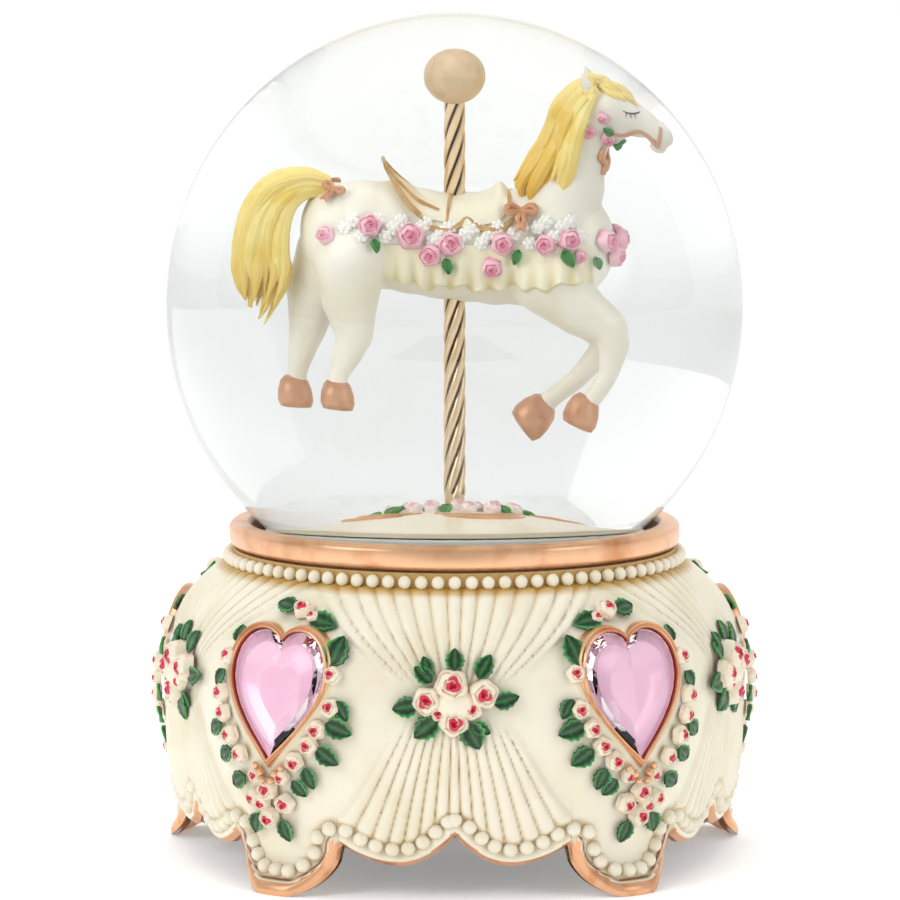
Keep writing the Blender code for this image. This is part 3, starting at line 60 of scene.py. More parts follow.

# %% [markdown]
# ## Helpers
# Every freeform piece is a grid bent into place by a function of two shares, so seams and poles
# are merged afterwards. Paint that belongs to a shape, such as the wash that collects in a
# groove or painted shade in a hollow, is written next to the point as a vertex value.

# %% Mesh helpers
def surface(bm, columns, rows, place, names=(), merge=2e-6):
    """A grid laid out by place(u, v) -> x, y, z and one value for each name, in metres."""
    layers = [bm.verts.layers.float.get(name) or bm.verts.layers.float.new(name) for name in names]
    verts = bmesh.ops.create_grid(bm, x_segments=columns, y_segments=rows, size=0.5)["verts"]
    for vert in verts:
        x, y, z, *values = place(vert.co.x + 0.5, vert.co.y + 0.5)
        vert.co = (x, y, z)
        for layer, value in zip(layers, values):
            vert[layer] = value
    bmesh.ops.remove_doubles(bm, verts=verts, dist=merge)


def piece(name, bm, material, body="base", slot=None, nodes=(), sharp=40):
    """A finished object from a bmesh: smooth, painted, riding on its body."""
    bmesh.ops.recalc_face_normals(bm, faces=bm.faces)
    mesh = bpy.data.meshes.new(name)
    bm.to_mesh(mesh)
    bm.free()
    mesh.shade_smooth()
    mesh.set_sharp_from_angle(angle=math.radians(sharp))
    for each in material if isinstance(material, (list, tuple)) else [material]:
        mesh.materials.append(each)
    made = bpy.data.objects.new(name, mesh)
    scene.collection.objects.link(made)
    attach(made, body)
    if nodes:
        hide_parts(*nodes)
    return made


def turned(bm, outline, segments):
    """Spin (radius, height) points in millimetres about the vertical axis."""
    verts = [bm.verts.new((radius * MM, 0, height * MM)) for radius, height in outline]
    edges = [bm.edges.new(pair) for pair in zip(verts, verts[1:])]
    if outline[0][0] > 0 or outline[-1][0] > 0:
        edges.append(bm.edges.new((verts[-1], verts[0])))
    bmesh.ops.spin(bm, geom=verts + edges, cent=(0, 0, 0), axis=(0, 0, 1), dvec=(0, 0, 0), angle=math.tau,
                   steps=segments, use_merge=True)
    bmesh.ops.remove_doubles(bm, verts=bm.verts, dist=2e-7)


def smooth_path(points, steps):
    """Catmull-Rom points through a list of vectors, steps to a span."""
    points = [Vector(point) for point in points]
    padded = [2 * points[0] - points[1], *points, 2 * points[-1] - points[-2]]
    path = []
    for index in range(1, len(padded) - 2):
        before, here, there, after = padded[index - 1:index + 3]
        for step in range(steps):
            t = step / steps
            path.append(0.5 * (2 * here + (there - before) * t
                               + (2 * before - 5 * here + 4 * there - after) * t * t
                               + (3 * here - before - 3 * there + after) * t ** 3))
    return path + [points[-1]]


def strand(bm, points, radii, sides=8, steps=4, side=(0, 1, 0), names=(), values=(0.0, 0.0)):
    """A closed tube through points in millimetres; radii and values are spread evenly along it."""
    path = smooth_path(points, steps)
    last = len(path) - 1
    side = Vector(side)

    def along(values, share):
        return float(np.interp(share, np.linspace(0, 1, len(values)), values))

    def place(u, v):
        index = round(u * (last + 2)) - 1
        inner = min(max(index, 0), last)
        ahead = path[min(inner + 1, last)] - path[max(inner - 1, 0)]
        across = ahead.cross(side).normalized()
        other = across.cross(ahead).normalized()
        radius = along(radii, inner / last) * (index == inner)
        angle = math.tau * v
        spot = path[inner] + radius * (across * math.cos(angle) + other * math.sin(angle))
        return (*(spot * MM), *([along(values, inner / last)] * len(names)))

    surface(bm, last + 2, sides, place, names, merge=1e-7)


def ball(bm, centre, radii, subdivisions=2):
    """An icosphere with its centre and half sizes in millimetres."""
    stretch = Matrix.Diagonal((*[radius * MM for radius in radii], 1))
    bmesh.ops.create_icosphere(bm, subdivisions=subdivisions, radius=1.0,
                               matrix=Matrix.Translation(Vector(centre) * MM) @ stretch)


def step_up(low, high, value):
    """Smooth rise from 0 at low to 1 at high."""
    share = np.clip((value - low) / (high - low), 0.0, 1.0)
    return share * share * (3 - 2 * share)


print("five equal sectors of", round(math.degrees(SECTOR)), "degrees")

# %% [markdown]
# ## Materials
# Hand-painted resin is a base colour with washes. Some stand for paint that gathers where the brush
# leaves it, and some are painted shade in hollows and joints. Those places could be found by a
# pointiness or distance texture, but the shapes know them exactly, so each shape stores them as values
# and the material only mixes by them. A fine mottle in the object's own coordinates stands for brush
# marks, sized in millimetres.

# %% Material helpers
def srgb(code):
    channels = [int(code[i:i + 2], 16) / 255 for i in (0, 2, 4)]
    return (*[c / 12.92 if c <= 0.04045 else ((c + 0.055) / 1.055) ** 2.4 for c in channels], 1.0)


def add(tree, kind, inputs=None, **settings):
    """Add a shader node with settings; an input given a socket is linked, any other is set."""
    node = tree.nodes.new("ShaderNode" + kind)
    for name, value in settings.items():
        setattr(node, name, value)
    for name, value in (inputs or {}).items():
        if isinstance(value, bpy.types.NodeSocket):
            tree.links.new(value, node.inputs[name])
        else:
            node.inputs[name].default_value = value
    return node


def washed(tree, colour, value, code, low, high):
    """The colour under a wash that thickens as value goes from low to high."""
    share = add(tree, "MapRange", {"Value": value, "From Min": low, "From Max": high}).outputs["Result"]
    # A Mix node takes its colours on sockets 6 and 7 and gives the mixed one on 2.
    return add(tree, "Mix", {0: share, 6: colour, 7: srgb(code)}, data_type="RGBA").outputs[2]


def paint(name, base, washes=(), mottle=None, roughness=0.4, metallic=0.0, coat=0.0, bump=None):
    """A painted or metal surface.

    washes are (value name, colour, low, high), mottle is (colour, patch in mm, low, high) and bump
    is (grain in mm, strength).
    """
    material = bpy.data.materials.new(name)
    material.use_nodes = True
    tree = material.node_tree
    shader = tree.nodes["Principled BSDF"]
    colour = srgb(base)
    for socket, value in (("Base Color", colour), ("Roughness", roughness), ("Metallic", metallic),
                          ("Coat Weight", coat), ("Coat Roughness", 0.12)):
        shader.inputs[socket].default_value = value
    where = add(tree, "TexCoord").outputs["Object"]
    if mottle:
        code, size, low, high = mottle
        noise = add(tree, "TexNoise", {"Vector": where, "Scale": 1 / (size * MM), "Detail": 4.0})
        colour = washed(tree, colour, noise.outputs["Fac"], code, low, high)
    for stored, code, low, high in washes:
        value = add(tree, "Attribute", attribute_name=stored).outputs["Fac"]
        colour = washed(tree, colour, value, code, low, high)
    if mottle or washes:
        tree.links.new(colour, shader.inputs["Base Color"])
    if bump:
        size, strength = bump
        grain = add(tree, "TexNoise", {"Vector": where, "Scale": 1 / (size * MM), "Detail": 3.0})
        relief = add(tree, "Bump", {"Height": grain.outputs["Fac"], "Strength": strength, "Distance": 0.2 * MM})
        tree.links.new(relief.outputs["Normal"], shader.inputs["Normal"])
    return material


def clear(name, ior, tint, lamps="FFFFFF"):
    """Clear glass or acrylic that lets lamps through to what is behind it."""
    material = paint(name, tint, roughness=0.0)
    tree = material.node_tree
    shader = tree.nodes["Principled BSDF"]
    shader.inputs["Transmission Weight"].default_value = 1.0
    shader.inputs["IOR"].default_value = ior
    through = add(tree, "BsdfTransparent", {"Color": srgb(lamps)}).outputs[0]
    shadow = add(tree, "LightPath").outputs["Is Shadow Ray"]
    mixed = add(tree, "MixShader", {0: shadow, 1: shader.outputs[0], 2: through}).outputs[0]
    tree.links.new(mixed, tree.nodes["Material Output"].inputs["Surface"])
    return material


print("ivory in linear light", [round(channel, 3) for channel in srgb("EFE8D3")[:3]])

# %% [markdown]
# ### Finishes of the base and the globe
# The base is polyresin poured in a rubber mould, brushed ivory and rubbed with ochre. Its copper is
# a paint with metal powder in it, so it shines less than plate and keeps a little of its colour in
# the shade; a metallic value just under 1 gives that. Bumps are pigment grains, drawn about ten
# times coarser than real ones, because those would not show.

# %% Base and globe materials
# Satin resin: darker ochre in the grooves, brown where the feet curl in, and painted shade round
# the heart settings, under the bead row, along the turned-under edge and inside the neck.
RESIN = paint("ivory_resin", "EFE8D3", mottle=("E6DCC0", 11.1, 0.45, 0.75), roughness=0.33, coat=0.3,
              washes=[("wash", "C29A4C", 0.15, 1.15), ("brown", "7A3A12", 0.2, 0.9)])
# Copper paint, brushed: a warm, soft shine with darker flakes.
LIP = paint("copper_lip_paint", "EBB58C", mottle=("C07C4E", 4.17, 0.5, 0.8), roughness=0.34, metallic=0.85,
            bump=(0.56, 0.15))
COPPER = paint("copper_paint", "EDBB93", mottle=("CF8F62", 6.25, 0.5, 0.8), roughness=0.3, metallic=0.85,
               washes=[("inner", "B5301C", 0.3, 0.9), ("brown", "6E3212", 0.2, 1.0)], bump=(0.67, 0.12))
# Flowers and leaves are touched in by hand: a dark heart, tan creases and dry-brushed veins.
ROSE = paint("rose_paint_crimson", "F3E8D2", roughness=0.38, coat=0.15,
             washes=[("groove", "D9A878", 0.3, 1.3), ("core", "CF2A4C", 0.4, 0.75)])
LEAF = paint("leaf_paint_dark_green", "08260D", washes=[("vein", "4DB35A", 0.25, 0.95)],
             mottle=("14501F", 1.11, 0.5, 0.7), roughness=0.4, coat=0.15)
# Pink foil behind cast acrylic: the facets throw its colour back in light and dark patches.
FOIL = paint("pink_foil", "FCE4F0", roughness=0.35, metallic=0.25)
STONE = clear("pink_acrylic", 1.49, tint="FFF3F9", lamps="FCEBF4")
# Blown glass: 1.5 against air, and 1.5 / 1.333 against the water inside.
OUTER_GLASS = clear("globe_glass_air", 1.5, tint="EEF0EF")
INNER_GLASS = clear("globe_glass_water", 1.125, tint="F8F9F8")
print("materials", len(bpy.data.materials))

# %% [markdown]
# ### Finishes of the carousel and the movement
# The horse is resin in matt figure paints, so nothing on it gleams but the gilt. The movement is
# machined brass, bright steel, die-cast zinc and moulded plastics, which differ mostly in how
# sharply they reflect.

# %% Carousel and movement materials
# Figure paints: matt. The roses' creases are left darker by a wash, and the ruffle's folds and the
# far ends of the hair locks are darker as painted shade.
IVORY = paint("ivory_figure_paint", "F1ECDD", mottle=("E9E2C9", 8.33, 0.5, 0.8), roughness=0.42, coat=0.1)
PINK_ROSE = paint("rose_paint_pink", "F4C3D0", roughness=0.42,
                  washes=[("groove", "D9798F", 0.25, 1.0), ("core", "E690A6", 0.3, 0.9)])
PALE_ROSE = paint("rose_paint_pale", "F6E6E2", roughness=0.45,
                  washes=[("groove", "E3B9B4", 0.25, 1.0), ("core", "EBB3BE", 0.3, 0.9)])
GREEN = paint("leaf_paint_green", "2F7D2E", washes=[("vein", "6DB368", 0.4, 1.0)], roughness=0.45)
SADDLE = paint("cream_saddle_paint", "F1EAD2", washes=[("wash", "EBCFA6", 0.2, 1.0)], roughness=0.42)
BLOSSOM = paint("white_blossom_paint", "F3F2EC", roughness=0.5)
RUFFLE = paint("cream_ruffle_paint", "F1E9CC", washes=[("groove", "DCC987", 0.3, 1.2)], roughness=0.45)
HAIR = paint("golden_hair_paint", "FBE793", washes=[("groove", "E3AC12", 0.15, 1.1)], roughness=0.42,
             mottle=("F3D566", 3.85, 0.45, 0.7))
TRIM = paint("copper_figure_paint", "D6A07A", mottle=("B87B52", 2.5, 0.5, 0.8), roughness=0.4, metallic=0.45)
DARK = paint("dark_brown_paint", "4A3A30", roughness=0.5)
# Gilt: bright on the ridges, antiqued dark in the twist.
GILT = paint("champagne_gilt", "F0D5AE", washes=[("groove", "3A200A", 0.3, 0.85)], roughness=0.3,
             metallic=0.75)
GILT_TRIM = paint("gilt_figure_paint", "D9B37C", mottle=("B98A4E", 2.0, 0.45, 0.75), roughness=0.38,
                  metallic=0.5)
GILT_BALL = paint("champagne_gilt_satin", "E8CBA6", mottle=("DDBB90", 2.0, 0.45, 0.7), roughness=0.5,
                  metallic=0.35)
# Bare metals: the mottle is handling and tarnish.
BRASS = paint("machined_brass", "C9A24E", mottle=("B08A3C", 3.33, 0.5, 0.8), roughness=0.28, metallic=1.0)
STEEL = paint("bright_steel", "9FA3A8", mottle=("85898E", 2.5, 0.5, 0.8), roughness=0.28, metallic=1.0)
ZINC = paint("zinc_casting", "A7A9AA", roughness=0.5, metallic=0.9, bump=(0.83, 0.2))
NICKEL = paint("nickel_plate", "C4C3BE", roughness=0.2, metallic=1.0)
# Mouldings: dull, with the skin of their mould.
RUBBER = paint("grey_rubber", "CFD1CA", roughness=0.7, bump=(1.11, 0.1))
ACETAL = paint("natural_acetal", "E8E6DE", roughness=0.45)
BOARD = paint("black_plastic", "262627", roughness=0.55, bump=(0.67, 0.15))
print("materials", len(bpy.data.materials))

# %% [markdown]
# ## The cast base
# The real base is one polyresin casting: five swags of pleats that fan up and down from a bouquet,
# smooth panels behind the hearts, a scalloped edge with rows of beads and five rolled feet.
# Everything is a radius over angle and height, so the relief is added to the radius and the ochre
# wash is stored where the relief dips, together with painted shade round the hearts, under the bead
# row, along the turned-under edge and inside the neck.

# %% Base profile
WAIST, SHOULDER, NECK = 25.0, 51.0, 38.6
FOOT, CUSP = math.radians(12.6), math.radians(24.5)
FAN_HEIGHT, LOBE = 34.0, 1.7
HEART_W, HEART_T, HEART_Z, TILT = 21.6, 24.8, 33.7, math.radians(12)
FULL, EDGE_RADIUS, SUNK = 50.4, 48.0, 1.3    # widest radius, radius at the lower edge, depth of the settings


def from_heart(angle):
    """Angle from the nearest heart's middle."""
    return (np.asarray(angle) + SECTOR / 2) % SECTOR - SECTOR / 2


def edge_height(angle):
    """Lower edge of the base in millimetres: a round foot under each heart, two scallops between."""
    away = np.abs(from_heart(angle))
    foot = 9.4 * (1 - np.sqrt(np.clip(1 - (away / FOOT) ** 2, 0, 1))) - 0.35
    offset = away - CUSP
    swag = np.where(offset > 0, 5.2 * (offset / (SECTOR / 2 - CUSP)) ** 2,
                    3.5 * (offset / (CUSP - FOOT)) ** 2)
    return np.where(away < FOOT, np.clip(foot, 0, None), 5.4 + swag)


def base_radius(angle, height):
    """Radius without the relief, in millimetres."""
    up = np.clip((height - WAIST) / (SHOULDER + 0.5 - WAIST), 0, 1)
    down = np.clip((WAIST - height) / (WAIST - 6.0), 0, 1)
    radius = np.where(height >= WAIST, NECK + (FULL - NECK) * (1 - up ** 3.2), FULL - 3.3 * down ** 1.2)
    radius = radius + LOBE * (1 - up ** 2) * np.cos(HEARTS * np.asarray(angle))
    away = np.abs(from_heart(angle)) / FOOT
    flare = 4.4 * np.clip(1 - height / 8.0, 0, 1) ** 1.8 * np.sqrt(np.clip(1 - away ** 2, 0, 1))
    return radius + flare


def around(angle, radius, height):
    """A point of the base in metres; a heart is at angle 0, at the back."""
    turn = angle + math.pi / 2
    return Vector((radius * math.cos(turn), radius * math.sin(turn), height)) * MM


def on_base(angle, height, lift=0.0, spin=0.0):
    """Placing matrix on the base: Z out of the surface, Y up it, X to the viewer's right."""
    spot = around(angle, float(base_radius(angle, height)), height)
    up = (around(angle, float(base_radius(angle, height + 0.5)), height + 0.5) - spot).normalized()
    right = around(angle + 0.01, float(base_radius(angle + 0.01, height)), height) - spot
    out = right.cross(up).normalized()
    right = up.cross(out)
    axes = Matrix((right, up, out)).transposed().to_4x4()
    return Matrix.Translation(spot + out * lift * MM) @ axes @ Matrix.Rotation(spin, 4, "Z")


edge_angles = np.linspace(-SECTOR / 2, SECTOR / 2, 289)
edge_points = np.stack([edge_angles * EDGE_RADIUS, edge_height(edge_angles)], 1)


def edge_distance(angle, height):
    """Distance in millimetres from points of one fifth of the base to its lower edge."""
    here = np.stack([np.asarray(angle) * EDGE_RADIUS, np.asarray(height)], -1)
    steps = here[..., None, :] - edge_points
    return np.sqrt((steps ** 2).sum(-1)).min(-1)


print("edge from", edge_points[:, 1].min(), "to", edge_points[:, 1].max(), "mm")

# %% [markdown]
# ### Heart outline
# Each stone sits in a heart-shaped setting that leans back with the base. Two Bezier curves down
# one side, mirrored for the other, give the outline. The base needs it before the stones do,
# because the casting is sunk inside it and swells a little round it.

# %% Heart outline
def heart_outline(width, height, points=12):
    """Heart with a shallow cleft: two curves down one side, mirrored for the other."""
    cleft, side, tip = Vector((0, 0.405)), Vector((0.5, 0.17)), Vector((0, -0.5))
    over = interpolate_bezier(cleft, Vector((0.13, 0.56)), Vector((0.5, 0.5)), side, points + 1)
    down = interpolate_bezier(side, Vector((0.5, -0.1)), Vector((0.15, -0.36)), tip, points + 1)
    right = [(point[0] * width, point[1] * height) for point in over[:-1] + down]
    return right + [(-x, y) for x, y in reversed(right[1:-1])]


OUT_TO_HEART = float(base_radius(0.0, HEART_Z)) - SUNK


def heart_frame(number):
    """Placing matrix of a heart setting in metres: X across, Y up, Z out."""
    turn = SECTOR * number + math.pi / 2
    outward = Vector((math.cos(turn), math.sin(turn), 0))
    up = Vector((0, 0, 1)) * math.cos(TILT) - outward * math.sin(TILT)
    facing = outward * math.cos(TILT) + Vector((0, 0, 1)) * math.sin(TILT)
    centre = outward * OUT_TO_HEART * MM + Vector((0, 0, HEART_Z * MM))
    return Matrix.Translation(centre) @ Matrix((up.cross(facing), up, facing)).transposed().to_4x4()


def depth_in_heart(x, y):
    """How far inside the setting's outline a point lies, in millimetres; negative outside."""
    corners = np.array(heart_outline(HEART_W, HEART_T))
    after = np.roll(corners, -1, 0)
    span = after - corners
    to = np.stack([x, y], -1)[..., None, :] - corners
    along = np.clip((to * span).sum(-1) / (span ** 2).sum(-1), 0, 1)
    away = np.sqrt(((to - along[..., None] * span) ** 2).sum(-1)).min(-1)
    crosses = (corners[:, 1] > y[..., None]) != (after[:, 1] > y[..., None])
    with np.errstate(divide="ignore", invalid="ignore"):
        meets = span[:, 0] * (y[..., None] - corners[:, 1]) / span[:, 1] + corners[:, 0]
    inside = (crosses & (x[..., None] < meets)).sum(-1) % 2 == 1
    return np.where(inside, away, -away)


print("hearts stand", round(OUT_TO_HEART, 1), "mm from the axis")

# %% [markdown]
# ### Relief of the base
# The swags could be sculpted, or drawn as a displacement texture. Worked out as a table of radii
# over one fifth of the base, they cost little and stay sharp: folds that fan out of the bouquet, a
# rolled lip along the edge with a channel over it, and a seat sunk for the heart.

# %% Relief
PER_SECTOR, ROWS = 164, 100
angle = np.linspace(-1, 1, PER_SECTOR + 1)[:, None]
angle = SECTOR / 2 * (angle + 0.12 * np.sin(math.pi * angle))
low = edge_height(angle)
share = np.linspace(0, 1, ROWS + 1)[None, :] ** 1.12
height = low + (SHOULDER - low) * share
from_bouquet = np.where(angle > 0, angle - SECTOR / 2, angle + SECTOR / 2)
radius = base_radius(angle, height)
edge = edge_distance(np.broadcast_to(angle, height.shape), height)
foot = 1 - step_up(0.85, 1.05, np.abs(angle) / FOOT)


def pleats(share_up, half_width, folds, depth):
    """Folds that fan out from the bouquet: how far they stand out and how deep their grooves are."""
    across = np.clip(np.abs(from_bouquet) / half_width, 0, 1) ** 0.9
    ridge = np.abs(np.cos(math.pi * folds * across + 0.3 * np.sin(7 * from_bouquet / half_width))) ** 0.75
    fade = step_up(0.08, 0.3, share_up) * (1 - step_up(0.86, 1.0, across))
    return depth * fade * ridge * (0.45 + 0.55 * share_up), fade * (1 - ridge) ** 2


upward = np.clip((height - FAN_HEIGHT) / (SHOULDER - FAN_HEIGHT), 0, 1)
downward = np.clip((FAN_HEIGHT - height) / (FAN_HEIGHT - low - 4.0), 0, 1)
high_fold, high_groove = pleats(upward, np.radians(8 + 30 * upward ** 1.1), 8, 1.25)
low_fold, low_groove = pleats(downward, np.radians(8 + 18 * downward ** 0.9), 8, 1.25)
calm = step_up(3.2, 4.8, edge)
lip = np.exp(-((edge - 1.2 - 0.6 * foot) / 0.8) ** 2)
channel = np.exp(-((edge - 3.2 - 0.6 * foot) / 1.2) ** 2)
radius = radius + high_fold + low_fold * calm + 0.6 * lip - 0.5 * channel
turned_edge = np.exp(-(edge / 0.45) ** 2)
radius = radius - 0.8 * turned_edge
spot_x, spot_y = radius * np.sin(angle), radius * np.cos(angle)
heart_y = -(spot_y - OUT_TO_HEART) * math.sin(TILT) + (height - HEART_Z) * math.cos(TILT)
inside = depth_in_heart(-spot_x, heart_y)
radius = radius - 3.6 * step_up(0.5, 1.5, inside) + 0.7 * np.exp(-(np.clip(-inside, 0, None) / 0.9) ** 2)
rim_shade = np.exp(-(np.clip(-inside, 0, None) / 0.5) ** 2) * 0.5
# wash: darker ochre in the pleat grooves and the channel, plus painted shade along the turned-under edge, round
# the heart settings (rim_shade) and in a band under the bead row at the shoulder.
wash = 0.75 * high_groove + 0.75 * low_groove * calm + 0.75 * channel + 0.8 * turned_edge + rim_shade
wash = wash + 1.1 * np.exp(-((height - SHOULDER) / 0.8) ** 2)
corner = step_up(0.55, 0.85, np.abs(angle) / FOOT) * foot
lip_width = 1.0 + 1.3 * foot - 0.5 * corner
lip_mask = np.where(edge < lip_width, 1.0, 0.0)
brown = np.exp(-((edge - lip_width - 0.3) / 0.25) ** 2) * foot
print("relief", radius.shape, "from", round(radius.min(), 1), "to", round(radius.max(), 1), "mm")

# %% [markdown]
# ### Base casting
# The same table is wrapped five times round the axis, and the grid goes on over the neck and down
# the hollow inside, so the casting is one closed shell. Faces of the rolled lip take the copper
# paint as a second material, which keeps the paint's edge crisp.

# %% Base casting
# Radius and height down the inside; a negative radius is drawn in from the lower edge.
inner = [(NECK, 51.4), (NECK, 53.7), (34.1, 53.7), (34.1, 51.2), (14.0, 51.2), (14.0, 47.7), (33.0, 47.7),
         (38.4, 41.7), (38.4, 17.7), (43.5, 17.7), (-2.2, 1.2), (-1.3, 0.0)]


def casting(u, v):
    column = round(u * PER_SECTOR * HEARTS)
    row = round(v * (ROWS + len(inner)))
    fifth, local = divmod(column, PER_SECTOR)
    turn = SECTOR * fifth + float(angle[local, 0])
    if row <= ROWS:
        spot = around(turn, radius[local, row], height[local, row])
        return (*spot, wash[local, row], brown[local, row], lip_mask[local, row])
    ring, level = inner[row - ROWS - 1]
    if ring < 0:
        ring, level = radius[local, 0] + ring, level + float(low[local, 0])
        return (*around(turn, ring, level), 0.5, 0.0, 1.0)
    # The inside is darkened as painted shade, most on the neck wall under the collar.
    return (*around(turn, ring, level), 1.1 if ring == NECK else 0.4, 0.0, 0.0)


bm = bmesh.new()
surface(bm, PER_SECTOR * HEARTS, ROWS + len(inner), casting, ("wash", "brown", "lip"))
lip_layer = bm.verts.layers.float["lip"]
for face in bm.faces:
    face.material_index = int(sum(vert[lip_layer] for vert in face.verts) > 2.5)
piece("base_casting", bm, [RESIN, LIP], slot="cast_resin", nodes=["base_shell"], sharp=60)

# %% [markdown]
# ### Beads
# Rows of pearls are part of the same casting: one row under the collar, and one that follows the
# scallops and the feet. Each is a small ball set half into the surface, spaced along the row.

# %% Beads
BEAD, BEAD_STEP, COLLAR_BEADS = 1.3, 3.0, 88
bm = bmesh.new()
for number in range(COLLAR_BEADS):
    ball(bm, around(math.tau * number / COLLAR_BEADS, NECK + 0.75, 52.2) / MM, (1.12, 1.12, 1.2))
travel, spots, last = 0.0, [], None
heights = np.arange(0.5, 20, 0.1)
for turn in np.radians(np.arange(-36, 36.01, 0.1)):
    want = 3.1 + 0.9 * float(1 - step_up(0.6, 1.0, abs(turn) / FOOT))
    below_row = edge_distance(np.full(heights.shape, turn), heights) < want
    below_row &= heights > edge_height(turn)
    here = np.array([turn * EDGE_RADIUS, heights[below_row].max()])
    travel += 0.0 if last is None else float(np.linalg.norm(here - last))
    last = here
    if travel >= len(spots) * BEAD_STEP:
        spots.append((turn, here[1]))
for number in range(HEARTS):
    for turn, level in spots:
        ball(bm, on_base(turn + number * SECTOR, level, lift=0.1).translation / MM, (BEAD,) * 3)
piece("base_beads", bm, RESIN, slot="cast_resin")
print("beads", COLLAR_BEADS, "and", len(spots) * HEARTS)

# %% [markdown]
# ### Flowers and leaves
# The flowers are cast with the base and touched in by hand: cream petals wrapped in a spiral round
# a crimson heart, and dark leaves with dry-brushed rims. A rose is a dome with a spiral step.

# %% Rose and leaf shapes
def rose(bm, matrix, radius):
    """A rose on its placing matrix, with the radius in millimetres."""
    def place(u, v):
        angle = math.tau * u
        spiral = (2.3 * v - u) % 1.0
        petal = 1 + 0.08 * math.cos(5 * angle + 3 * v)
        reach = radius * v * petal
        dome = 0.8 * math.sqrt(max(0.0, 1 - v ** 2.6))
        rise = radius * (dome + 0.3 * (1 - spiral) * (v < 0.97) * (v > 0.02) - 0.25)
        heart = v * (1 + 0.35 * math.cos(angle - 1) + 0.15 * math.cos(3 * angle)) + 0.25 * (spiral > 0.7)
        spot = matrix @ (Vector((reach * math.cos(angle), reach * math.sin(angle), rise)) * MM)
        return (*spot, max(0.0, spiral - 0.55) * 2.2, float(1 - step_up(0.34, 0.52, heart)))

    surface(bm, 20, 10, place, ("groove", "core"))


def leaf(bm, matrix, length, width):
    """A leaf that grows along its matrix's Y, in millimetres."""
    def place(u, v):
        angle = math.tau * v
        crease = abs(math.cos(angle))
        top = math.sin(angle) > 0
        outline = math.sin(math.pi * min(1.0, u ** 0.8)) ** 0.75 * (1 + 0.1 * math.sin(10 * math.pi * u))
        across = width / 2 * outline * math.cos(angle)
        rise = 0.35 + (0.3 * crease if top else -0.3) - 0.1 * u * u * length + 0.25 * math.sin(math.pi * u)
        spot = matrix @ (Vector((across, u * length, rise)) * MM)
        return (*spot, max(crease ** 3, 0.45 * (1 - min(1.0, crease * 6))) if top else 0.2)

    surface(bm, 9, 12, place, ("vein",), merge=1e-5)


print("a rose has", 20 * 10, "faces and a leaf", 9 * 12)

# %% [markdown]
# ### Bouquets and garlands
# The real flowers were modelled by hand between the hearts and round them. Scattering them would
# lose the composition, so one bouquet and one garland are laid out as short lists, in millimetres
# across and up, and wrapped onto every fifth of the base; each second garland is mirrored, and a
# seeded draw turns every rose.

# %% Bouquets and garlands
random.seed(7)
ACROSS = 50    # radius that turns millimetres across into an angle
roses, leaves = bmesh.new(), bmesh.new()
BOUQUET = [(-0.6, 36.2, 2.9), (-4.7, 33.8, 2.45), (4.9, 35.0, 2.5), (-0.2, 30.6, 2.6), (2.9, 32.4, 1.7),
           (-2.7, 31.9, 1.4)]
BOUQUET_LEAVES = [(0.0, 38.6, 3.8, 3.2, 0), (-3.8, 36.8, 4.0, 3.0, 50), (-4.4, 38.2, 3.0, 2.4, 20),
                  (3.9, 37.4, 4.6, 3.2, -30), (-6.2, 33.2, 4.4, 3.6, 100), (-3.0, 31.0, 5.0, 4.0, 130),
                  (2.0, 30.4, 5.0, 4.4, 205), (3.0, 30.2, 3.4, 2.6, 240), (6.4, 33.4, 4.6, 3.2, -75)]
for number in range(HEARTS):
    middle = (number + 0.5) * SECTOR
    for x, z, size in BOUQUET:
        rose(roses, on_base(middle + x / ACROSS, z, 1.5, random.uniform(0, 6.28)), size)
    for x, z, length, width, degrees in BOUQUET_LEAVES:
        leaf(leaves, on_base(middle + x / ACROSS, z, 0.9, math.radians(degrees)), length, width)
    ball(roses, on_base(middle, 33.2, -1.0).translation / MM, (4.6, 4.6, 3.4))
# Across and up from the stone's middle and size, and for a leaf the way it points.
GARLAND = [(-1.7, 13.4, 1.8), (-4.4, 12.4, 1.2), (-4.0, 12.0, 5.2, 95), (0.0, 13.2, 4.4, -75),
           (-10.2, 5.4, 5.6, 15), (-10.9, 4.0, 1.6), (-11.8, 0.0, 3.8, 150), (-10.6, -1.6, 1.7),
           (-10.2, -4.0, 4.8, 110), (-8.8, -4.9, 1.7), (-8.6, -8.2, 4.6, 125), (-7.2, -7.8, 1.7),
           (-6.4, -11.4, 4.0, 160), (-4.9, -10.6, 1.7), (-4.2, -13.8, 3.6, 140), (-2.4, -13.4, 1.4),
           (0.6, -16.0, 1.9), (4.0, -17.6, 1.6), (-2.4, -18.2, 1.8), (0.8, -20.8, 1.9), (1.9, -18.4, 1.6),
           (-1.4, -21.2, 4.0, 165), (3.6, -20.4, 4.0, -160), (5.6, -14.2, 4.0, -120), (3.0, -13.6, 1.4),
           (9.6, 7.4, 3.4, -10), (11.1, 5.0, 1.6), (11.6, 2.8, 3.4, -150), (11.3, -1.0, 1.7),
           (10.4, -4.2, 1.6), (11.2, -6.0, 3.8, -120), (8.4, -7.6, 1.7), (8.6, -10.0, 3.8, -120),
           (6.0, -10.6, 1.6)]
for number in range(HEARTS):
    side = 1 if number % 2 else -1
    for x, y, size, *degrees in GARLAND:
        x, y = side * x + random.uniform(-0.2, 0.2), y + random.uniform(-0.2, 0.2)
        where = number * SECTOR + x / ACROSS, HEART_Z + y * 0.985
        if degrees:
            leaf(leaves, on_base(*where, 0.7, side * math.radians(degrees[0])), size, size * 0.78)
        else:
            rose(roses, on_base(*where, 1.1, random.uniform(0, 6.28)), size)
piece("base_roses", roses, ROSE, slot="cast_resin")
piece("base_leaves", leaves, LEAF, slot="cast_resin")
